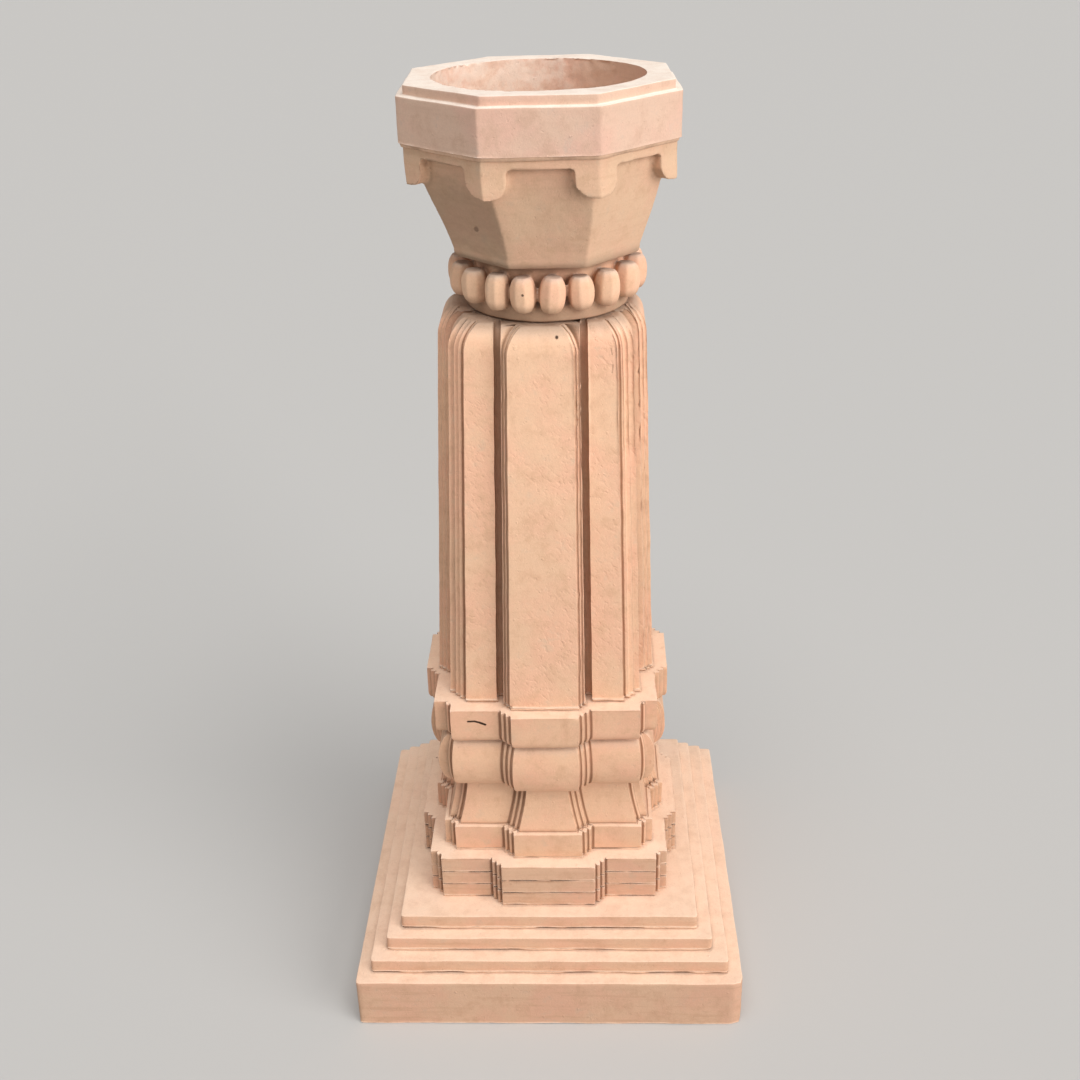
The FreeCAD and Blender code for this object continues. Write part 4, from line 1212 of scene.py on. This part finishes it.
def shaft_stone(node, seed):
    """The tapering pier: its plan shrinks upwards and rounds in under the bead ring."""
    plan, wear = settings("shaft"), settings("wear")
    bottom, tall = low(node), rise(node)
    outline = Plan(four_sides(shaft_half()), SHAFT_SPACING * wear.spacing)
    shoulder = tall - plan.shoulder_rise
    turn_end = math.asin(plan.shoulder_rise / plan.shoulder_radius)
    side = [(UNDERSIDE, -CLOSING), (0, -CLOSING, wear.arris / 2), (0, shoulder)]
    for step in range(1, SHOULDER_STEPS + 1):
        turn = turn_end * step / SHOULDER_STEPS
        side.append((plan.shoulder_radius * (1 - math.cos(turn)),
                     shoulder + plan.shoulder_radius * math.sin(turn)))
    side.append((side[-1][0] + SHAFT_LIP, tall))
    rings = []
    for inset, height in profile(*side, spacing=SHAFT_SIDE_SPACING * wear.spacing):
        scale = 1 - (1 - plan.top_share) * height / tall
        flat_end = inset > EDGE_STRIP and height in (-CLOSING, tall)
        rings.append(outline.ring(inset, bottom + height, scale, flat_end))
    stone = bored(node + "_stone", rings, SHAFT_CORE, settings("courses").tube_bore)

    def lean(points):
        part = (points[:, 2] - bottom) / tall
        points[:, 0] += plan.lean * part - SHAFT_LEAN_START
        return points

    edit_points(stone, lean)
    weather(stone, [node], stone_for("shaft"), seed, 0.9, battered=BATTERED_PLACE,
            battered_reach=BATTERED_REACH)
    fit(stone, FOOT_BODY, "sandstone", node)


# Angles of the beads from the front, towards the right: the front ones as they were cut by hand
FRONT_BEADS = (-74, -54.5, -33.5, -15.5, 3, 21.5, 41, 63)
BEAD_COUNT = 18
BEAD_FACETS = 8
BEAD_TURNS = 40
BEAD_BULGE_STEPS = 18
BEAD_SPACING = 2.2 * MM
BEAD_GRAIN = 1.08 * MM
CORE_TURNS = 96
BEAD_POWER = 2.4
# Width of a bead along the ring as a share of its depth
BEAD_SQUEEZE = 0.955

BEAD_INPUTS = (
    ("Stone", "NodeSocketGeometry"),
    ("Bead", "NodeSocketObject"),
    ("Core", "NodeSocketObject"),
    ("Finish", "NodeSocketMaterial"),
    ("Unevenness", "NodeSocketFloat"),
    ("Seed", "NodeSocketInt"),
)


def bead_tree():
    """Sets one bead at every point, each a little turned and sized by chance, round a core."""
    tree, graph, given = new_tree("Ring of beads", BEAD_INPUTS)
    bead, core = graph.shape(given.other("Bead")), graph.shape(given.other("Core"))
    turn = graph.add("GeometryNodeInputNamedAttribute", {"data_type": "FLOAT"}, {"Name": "turn"})
    chance = graph.add("FunctionNodeRandomValue", {"data_type": "FLOAT_VECTOR"}, {
        0: (-1, -1, -1), 1: (1, 1, 1), "Seed": given.other("Seed")})
    sway = graph.scaled(chance, given.other("Unevenness"))
    upright = graph.add("ShaderNodeCombineXYZ", None, {2: turn})
    size = graph.vectors("ADD", graph.scaled(sway, 0.6), (1, 1, 1))
    beads = graph.add("GeometryNodeInstanceOnPoints", None, {
        "Points": given.other("Stone"), "Instance": bead,
        "Rotation": graph.vectors("ADD", upright, sway), "Scale": size})
    finish_tree(graph, graph.joined(beads, core), given.other("Finish"))
    return tree


def bead_pattern():
    """One barrel bead with soft upright facets, standing at the origin."""
    top = settings("top")
    half = top.bead_rise / 2
    narrowing = 1 - (top.bead_end / top.bead_radius) ** BEAD_POWER
    side = [(0, -half)]
    for step in range(BEAD_BULGE_STEPS + 1):
        t = math.sin(math.pi * (step / BEAD_BULGE_STEPS - HALF))
        share_out = (1 - narrowing * abs(t) ** BEAD_POWER) ** (1 / BEAD_POWER)
        side.append((top.bead_radius * share_out, t * half, 0.0))
    side.append((0, half))
    line = profile(*side, spacing=BEAD_SPACING)
    turns = np.arange(BEAD_TURNS) * 2 * math.pi / BEAD_TURNS
    facet = math.pi / BEAD_FACETS
    inner = np.cos(facet) / np.cos(np.mod(turns + facet, 2 * facet) - facet)
    section = inner / inner.mean()
    rings = []
    for radius, height in line[1:-1]:
        rings.append(np.column_stack((
            BEAD_SQUEEZE * radius * section * np.cos(turns), radius * section * np.sin(turns),
            np.full(BEAD_TURNS, height))))
    last = (len(rings) - 1) * BEAD_TURNS
    faces = []
    for below in range(0, last, BEAD_TURNS):
        faces += band(BEAD_TURNS, below, below + BEAD_TURNS).tolist()
    ends = np.arange(BEAD_TURNS)
    faces += [ends[::-1].tolist(), (ends + last).tolist()]
    mesh = bpy.data.meshes.new("bead")
    mesh.from_pydata(np.concatenate(rings).tolist(), [], faces)
    return new_object("bead", mesh)


def ring_core(name, bore, side):
    """A round stone with a hole, from corners (radius, level, rounding) up its side."""
    turns = np.arange(CORE_TURNS) * 2 * math.pi / CORE_TURNS
    circle = np.column_stack((np.cos(turns), np.sin(turns), np.zeros(CORE_TURNS)))
    line = profile((bore, side[0][1]), *side, (bore, side[-1][1]))
    rings = []
    for radius, level in line:
        ring = circle * radius
        ring[:, 2] = level
        rings.append(ring)
    return swept(name, rings)


def bead_ring(node, seed):
    """The neck ring: barrel beads cut by hand round a core."""
    top = settings("top")
    last = FRONT_BEADS[-1]
    gap = (360 + FRONT_BEADS[0] - last) / (BEAD_COUNT - len(FRONT_BEADS) + 1)
    turns = list(FRONT_BEADS)
    turns += [last + gap * (step + 1) for step in range(BEAD_COUNT - len(FRONT_BEADS))]
    angles = np.radians(turns)
    level = low(node) + top.bead_level
    points = np.column_stack((top.bead_circle * np.sin(angles), -top.bead_circle * np.cos(angles),
                              np.full(BEAD_COUNT, level)))
    mesh = bpy.data.meshes.new(node)
    mesh.from_pydata(points.tolist(), [], [])
    mesh.attributes.new("turn", "FLOAT", "POINT").data.foreach_set("value", angles)
    stone = new_object(node + "_stone", mesh)
    bead = bead_pattern()
    wide, waist, half = top.core_radius, top.core_waist, top.bead_rise / 2
    core = ring_core("core", top.spigot_bore, (
        (wide + 1 * MM, low(node), 2 * MM), (wide, level - 0.8 * half, 2 * MM),
        (waist, level - 0.55 * half, 5 * MM), (waist, high(node), 1 * MM)))
    finish = stone_for("beads")
    run_tree(stone, tree_named("Ring of beads", bead_tree), Bead=bead, Core=core, Finish=finish,
             Unevenness=0.07, Seed=5)
    forget(bead)
    forget(core)
    recut(stone, BEAD_GRAIN, 1)
    place_top(stone)
    edit_points(stone, skewed)
    weather(stone, [node], finish, seed, 0.7)
    fit(stone, TOP_BODY, "sandstone", node)


def bowl_stone(node, seed):
    """The bowl, recut from its solid as one even skin with softened edges."""
    top = settings("top")
    stone = new_object(node + "_stone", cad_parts[node].data.copy())
    weld(stone.data)
    recut(stone, top.grain, 2)
    edit_points(stone, skewed)
    weather(stone, [node], stone_for("bowl"), seed, 0.8, 1.4 * MM, top.mouth_radius)
    fit(stone, TOP_BODY, "sandstone", node)


def regular_plan(half, sides, spacing, rounding=0.0):
    """A regular outline with a flat to the front."""
    corner = half / math.cos(math.pi / sides)
    turns = [math.pi / sides * (2 * side + 1) for side in range(sides)]
    return Plan([(corner * math.sin(turn), -corner * math.cos(turn), rounding, 1.0, 1.0)
                 for turn in turns], spacing)


CAP_STEPS = 9


def rim(node, seed):
    """The rim ring: an eight-sided band and cap round a circular mouth."""
    top, wear = settings("top"), settings("wear")
    plan = regular_plan(top.rim_half, RIM_FACES, wear.spacing, 1.6 * MM)
    bottom, level = low(node), low(node) + top.rim_rise
    crown = high(node)
    step = top.rim_half - top.cap_half
    side = profile((UNDERSIDE, bottom), (0, bottom, 0.6 * MM), (0, level, 1.4 * MM),
                   (step, level, wear.arris), (step, crown, 1.3 * MM), (step + 3 * MM, crown))
    rings = [plan.ring(inset, height) for inset, height in side]
    edge = rings[-1]
    mouth = round_ring(edge, top.mouth_radius + 2 * MM, crown)
    for index in range(1, CAP_STEPS):
        t = index / CAP_STEPS
        rings.append(edge * (1 - t) + mouth * t)
    wall = profile((2 * MM, crown), (0, crown, 1.8 * MM), (0, bottom, wear.arris),
                   (-1 * MM, bottom))
    rings += [round_ring(edge, top.mouth_radius + out, height) for out, height in wall[:-1]]
    stone = swept(node + "_stone", rings)
    place_top(stone)
    weather(stone, [node], stone_for("rim"), seed, 0.8, 1.2 * MM, top.mouth_radius + 3 * MM)
    fit(stone, TOP_BODY, "sandstone", node)


# How far a bed stands into the stones above and below it
BED_SPREAD = 0.4 * MM
# How the depth of the joints varies: the length of its lumps, its middle and its swing
RECESS_LUMP = 26 * MM
RECESS_MIDDLE = 0.3
RECESS_SWING = 1.9
# Flats of the outline that stands for the round waist
WAIST_FACES = 32


def recess(plan, least, most, seed):
    """How far a joint's mortar lies back at each point of a plan."""
    depths = []
    for x, y in plan.base:
        spot = Vector((x / RECESS_LUMP, y / RECESS_LUMP, seed))
        part = min(1.0, max(0.0, RECESS_MIDDLE + RECESS_SWING * noise.noise(spot)))
        depths.append(least + (most - least) * part)
    return np.array(depths)


def mortar_bed(node, plan, least, most, core, bore, seed, body=FOOT_BODY, spread=BED_SPREAD,
               lean=0.0):
    """The mortar of one joint, whose edge comes and goes and can lean in downwards."""
    back = recess(plan, least, most, seed)
    bottom, top = low(node) - spread, high(node) + spread
    outer = [plan.ring(back + lean, bottom), plan.ring(back, top)]
    inner = [core_ring(outer[1], core, top), core_ring(outer[0], core, bottom)] if core else []
    inner.insert(len(inner) // 2, round_ring(outer[1], bore, top))
    inner.insert(len(inner) // 2 + 1, round_ring(outer[0], bore, bottom))
    # How far the mortar lies back, which its finish paints darker as dirt and painted shade of the
    # recess
    shown = np.maximum(back - least, 0)
    made = swept(node + "_mortar", outer + inner, [shown] * (len(outer) + len(inner)))
    if body == TOP_BODY:
        place_top(made)
        edit_points(made, skewed)
    weather(made, [node], material_named("Mortar", mortar_finish), seed, 0.3)
    fit(made, body, "mortar", node)


# Operators, panel and registration

class PlanterOperator:
    """Shared by the operators below."""

    bl_options = {"REGISTER", "UNDO"}


class PLANTER_OT_slabs(PlanterOperator, bpy.types.Operator):
    """Build the square base slab and the three step slabs"""

    bl_idname = "planter.slabs"
    bl_label = "Square Slabs"

    def execute(self, context):
        for index, node in enumerate(SLABS):
            slab(node, 1.3 + index)
        return {"FINISHED"}


class PLANTER_OT_foot(PlanterOperator, bpy.types.Operator):
    """Build the three thin foot layers"""

    bl_idname = "planter.foot"
    bl_label = "Foot Layers"

    def execute(self, context):
        for index, node in enumerate(FOOT_LAYERS):
            foot_layer(node, 5.1 + index)
        return {"FINISHED"}


class PLANTER_OT_skirt(PlanterOperator, bpy.types.Operator):
    """Build the skirt course"""

    bl_idname = "planter.skirt"
    bl_label = "Skirt Course"

    def execute(self, context):
        skirt("skirt_course", 8.2)
        return {"FINISHED"}


class PLANTER_OT_cushion(PlanterOperator, bpy.types.Operator):
    """Build the rounded cushion course"""

    bl_idname = "planter.cushion"
    bl_label = "Cushion Course"

    def execute(self, context):
        cushion("cushion_course", 9.4)
        return {"FINISHED"}


class PLANTER_OT_ledge(PlanterOperator, bpy.types.Operator):
    """Build the ledge course"""

    bl_idname = "planter.ledge"
    bl_label = "Ledge Course"

    def execute(self, context):
        ledge("ledge_course", 10.6)
        return {"FINISHED"}


class PLANTER_OT_shaft(PlanterOperator, bpy.types.Operator):
    """Build the reeded shaft"""

    bl_idname = "planter.shaft"
    bl_label = "Shaft"

    def execute(self, context):
        shaft_stone("shaft", 11.8)
        return {"FINISHED"}


class PLANTER_OT_beads(PlanterOperator, bpy.types.Operator):
    """Build the bead ring"""

    bl_idname = "planter.beads"
    bl_label = "Bead Ring"

    def execute(self, context):
        bead_ring("bead_ring", 13.1)
        return {"FINISHED"}


class PLANTER_OT_bowl(PlanterOperator, bpy.types.Operator):
    """Build the bowl with its frieze and tongues"""

    bl_idname = "planter.bowl"
    bl_label = "Bowl"

    def execute(self, context):
        bowl_stone("bowl", 14.3)
        return {"FINISHED"}


class PLANTER_OT_rim(PlanterOperator, bpy.types.Operator):
    """Build the rim ring"""

    bl_idname = "planter.rim"
    bl_label = "Rim Ring"

    def execute(self, context):
        rim("rim_ring", 15.7)
        return {"FINISHED"}


class PLANTER_OT_mortar(PlanterOperator, bpy.types.Operator):
    """Build the mortar in the joints"""

    bl_idname = "planter.mortar"
    bl_label = "Mortar Beds"

    def execute(self, context):
        plans, top, wear = settings("courses"), settings("top"), settings("wear")
        spacing, bore = BED_SPACING * wear.spacing, plans.tube_bore
        steps = (("step_bed_lower", "lower_step_slab"), ("step_bed_middle", "middle_step_slab"),
                 ("step_bed_upper", "upper_step_slab"))
        for index, (node, above) in enumerate(steps):
            plan = square_plan(above, SLAB_CORNER, spacing)
            mortar_bed(node, plan, 0, 1.5 * MM, SLAB_CORE, bore, 21.3 + index)
        foot = reeded(reach("foot_lower_layer"), plans.foot_panel, plans.foot_side, wear.arris)
        skirt_half = reeded(reach("skirt_course"), plans.skirt_panel, plans.skirt_side, wear.arris)
        inside = plans.cushion_bulge
        roll = reeded(reach("cushion_course"), plans.cushion_panel, plans.cushion_side,
                      wear.arris, plans.cushion_end, plans.cushion_corner)
        beds = (
            ("foot_bed_lower", foot, 0.3 * MM, 2.4 * MM),
            ("foot_bed_middle", foot, 0.7 * MM, 5 * MM),
            ("foot_bed_upper", foot, 0.7 * MM, 5 * MM),
            ("skirt_bed", skirt_half, 0, 1 * MM),
            ("cushion_bed", roll, inside, inside + 2 * MM),
            ("ledge_bed", roll, inside, inside + 2 * MM),
        )
        for index, (node, half, least, most) in enumerate(beds):
            plan = Plan(four_sides(half), spacing)
            mortar_bed(node, plan, least, most, COURSE_CORE, bore, 25.9 + index)
        plan = Plan(four_sides(shaft_half()), spacing)
        mortar_bed("shaft_bed", plan, 0, 0.7 * MM, COURSE_CORE, bore, 33.5)
        plan = regular_plan(top.rim_half, RIM_FACES, spacing)
        mortar_bed("rim_bed", plan, 0.9 * MM, 1.8 * MM, 0, top.mouth_radius + HALF * MM, 35.2,
                   TOP_BODY, 1.8 * MM, 1.9 * MM)
        plan = regular_plan(top.core_waist, WAIST_FACES, spacing)
        mortar_bed("bowl_bed", plan, 0, 2 * MM, 0, top.spigot_bore, 37.8, TOP_BODY)
        return {"FINISHED"}


def repaint(node, material):
    """Gives a node that stays as it is its finish."""
    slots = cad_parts[node].data.materials
    slots.clear()
    slots.append(material)


class PLANTER_OT_fixings(PlanterOperator, bpy.types.Operator):
    """Finish the steel dowels and the drain tube"""

    bl_idname = "planter.fixings"
    bl_label = "Dowels and Drain Tube"

    def execute(self, context):
        steel = material_named("Drawn steel", steel_finish)
        for node in ("step_dowels", "foot_dowels", "cushion_dowels", "shaft_dowels"):
            repaint(node, steel)
        repaint("drain_tube", material_named("Grey pipe", pipe_finish))
        return {"FINISHED"}


def far_light(name, aim, strength, spread, tint):
    """A light from far away that shines along a direction, softer the wider it spreads."""
    lamp = bpy.data.lights.new(name, "SUN")
    lamp.energy = strength
    lamp.angle = spread
    lamp.color = tint
    made = new_object(name, lamp)
    made.rotation_euler = Vector(aim).to_track_quat("-Z", "Y").to_euler()


def aim_camera(look):
    """Stands the camera where the photo was taken."""
    ahead = Vector((-math.sin(look.camera_yaw), math.cos(look.camera_yaw), 0))
    across = Vector((math.cos(look.camera_yaw), math.sin(look.camera_yaw), 0))
    up = Vector((0, 0, 1))
    view = ahead * math.cos(look.camera_pitch) - up * math.sin(look.camera_pitch)
    head = ahead * math.sin(look.camera_pitch) + up * math.cos(look.camera_pitch)
    right = across * math.cos(look.camera_roll) + head * math.sin(look.camera_roll)
    head = head * math.cos(look.camera_roll) - across * math.sin(look.camera_roll)
    camera = bpy.data.cameras.new("camera")
    camera.sensor_width = 36
    camera.lens = look.focal
    made = new_object("camera", camera)
    turn = Matrix((right, head, -view)).transposed().to_4x4()
    made.matrix_world = Matrix.Translation(look.camera_place) @ turn
    bpy.context.scene.camera = made


class PLANTER_OT_stage(PlanterOperator, bpy.types.Operator):
    """Set out the floor, the lights and the camera"""

    bl_idname = "planter.stage"
    bl_label = "Stage"

    def execute(self, context):
        look = settings("stage")
        half = look.floor_side / 2
        floor = new_piece("floor", [(x * half, y * half, 0) for x, y in SQUARE], [(0, 1, 2, 3)])
        material, graph, surface = new_material("Pale floor")
        feed(graph, surface, Base_Color=rgba(look.floor), Roughness=0.9)
        floor.data.materials.append(material)
        far_light("overhead", (-0.05, 0.3, -1), look.overhead, math.radians(50), (1.0, 0.985, 0.97))
        far_light("key", (-0.76, 0.57, -0.3), look.key, math.radians(50), (1.0, 0.975, 0.95))
        world = bpy.data.worlds.new("studio")
        world.use_nodes = True
        back = world.node_tree.nodes["Background"]
        back.inputs["Color"].default_value = (1.0, 0.99, 0.98, 1.0)
        back.inputs["Strength"].default_value = look.ambient
        context.scene.world = world
        context.scene.view_settings.view_transform = "Standard"
        aim_camera(look)
        return {"FINISHED"}


OPERATORS = (
    PLANTER_OT_slabs, PLANTER_OT_foot, PLANTER_OT_skirt, PLANTER_OT_cushion, PLANTER_OT_ledge,
    PLANTER_OT_shaft, PLANTER_OT_beads, PLANTER_OT_bowl, PLANTER_OT_rim, PLANTER_OT_mortar,
    PLANTER_OT_fixings, PLANTER_OT_stage,
)


class PLANTER_PT_sidebar(bpy.types.Panel):
    """Lists the planter's pieces in the sidebar"""

    bl_idname = "PLANTER_PT_sidebar"
    bl_label = "Sandstone Planter"
    bl_space_type = "VIEW_3D"
    bl_region_type = "UI"
    bl_category = "Planter"

    def draw(self, context):
        for operator in OPERATORS:
            self.layout.operator(operator.bl_idname)


CLASSES = (*SETTINGS.values(), *OPERATORS, PLANTER_PT_sidebar)


def register():
    for made in CLASSES:
        bpy.utils.register_class(made)
    for name, group in SETTINGS.items():
        setattr(bpy.types.Scene, name, bpy.props.PointerProperty(type=group))


def unregister():
    for name in SETTINGS:
        delattr(bpy.types.Scene, name)
    for made in reversed(CLASSES):
        bpy.utils.unregister_class(made)


def main():
    """Builds the planter and its stage."""
    register()
    for operator in OPERATORS:
        group, name = operator.bl_idname.split(".")
        getattr(getattr(bpy.ops, group), name)()
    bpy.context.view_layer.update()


if __name__ == "__main__":
    main()
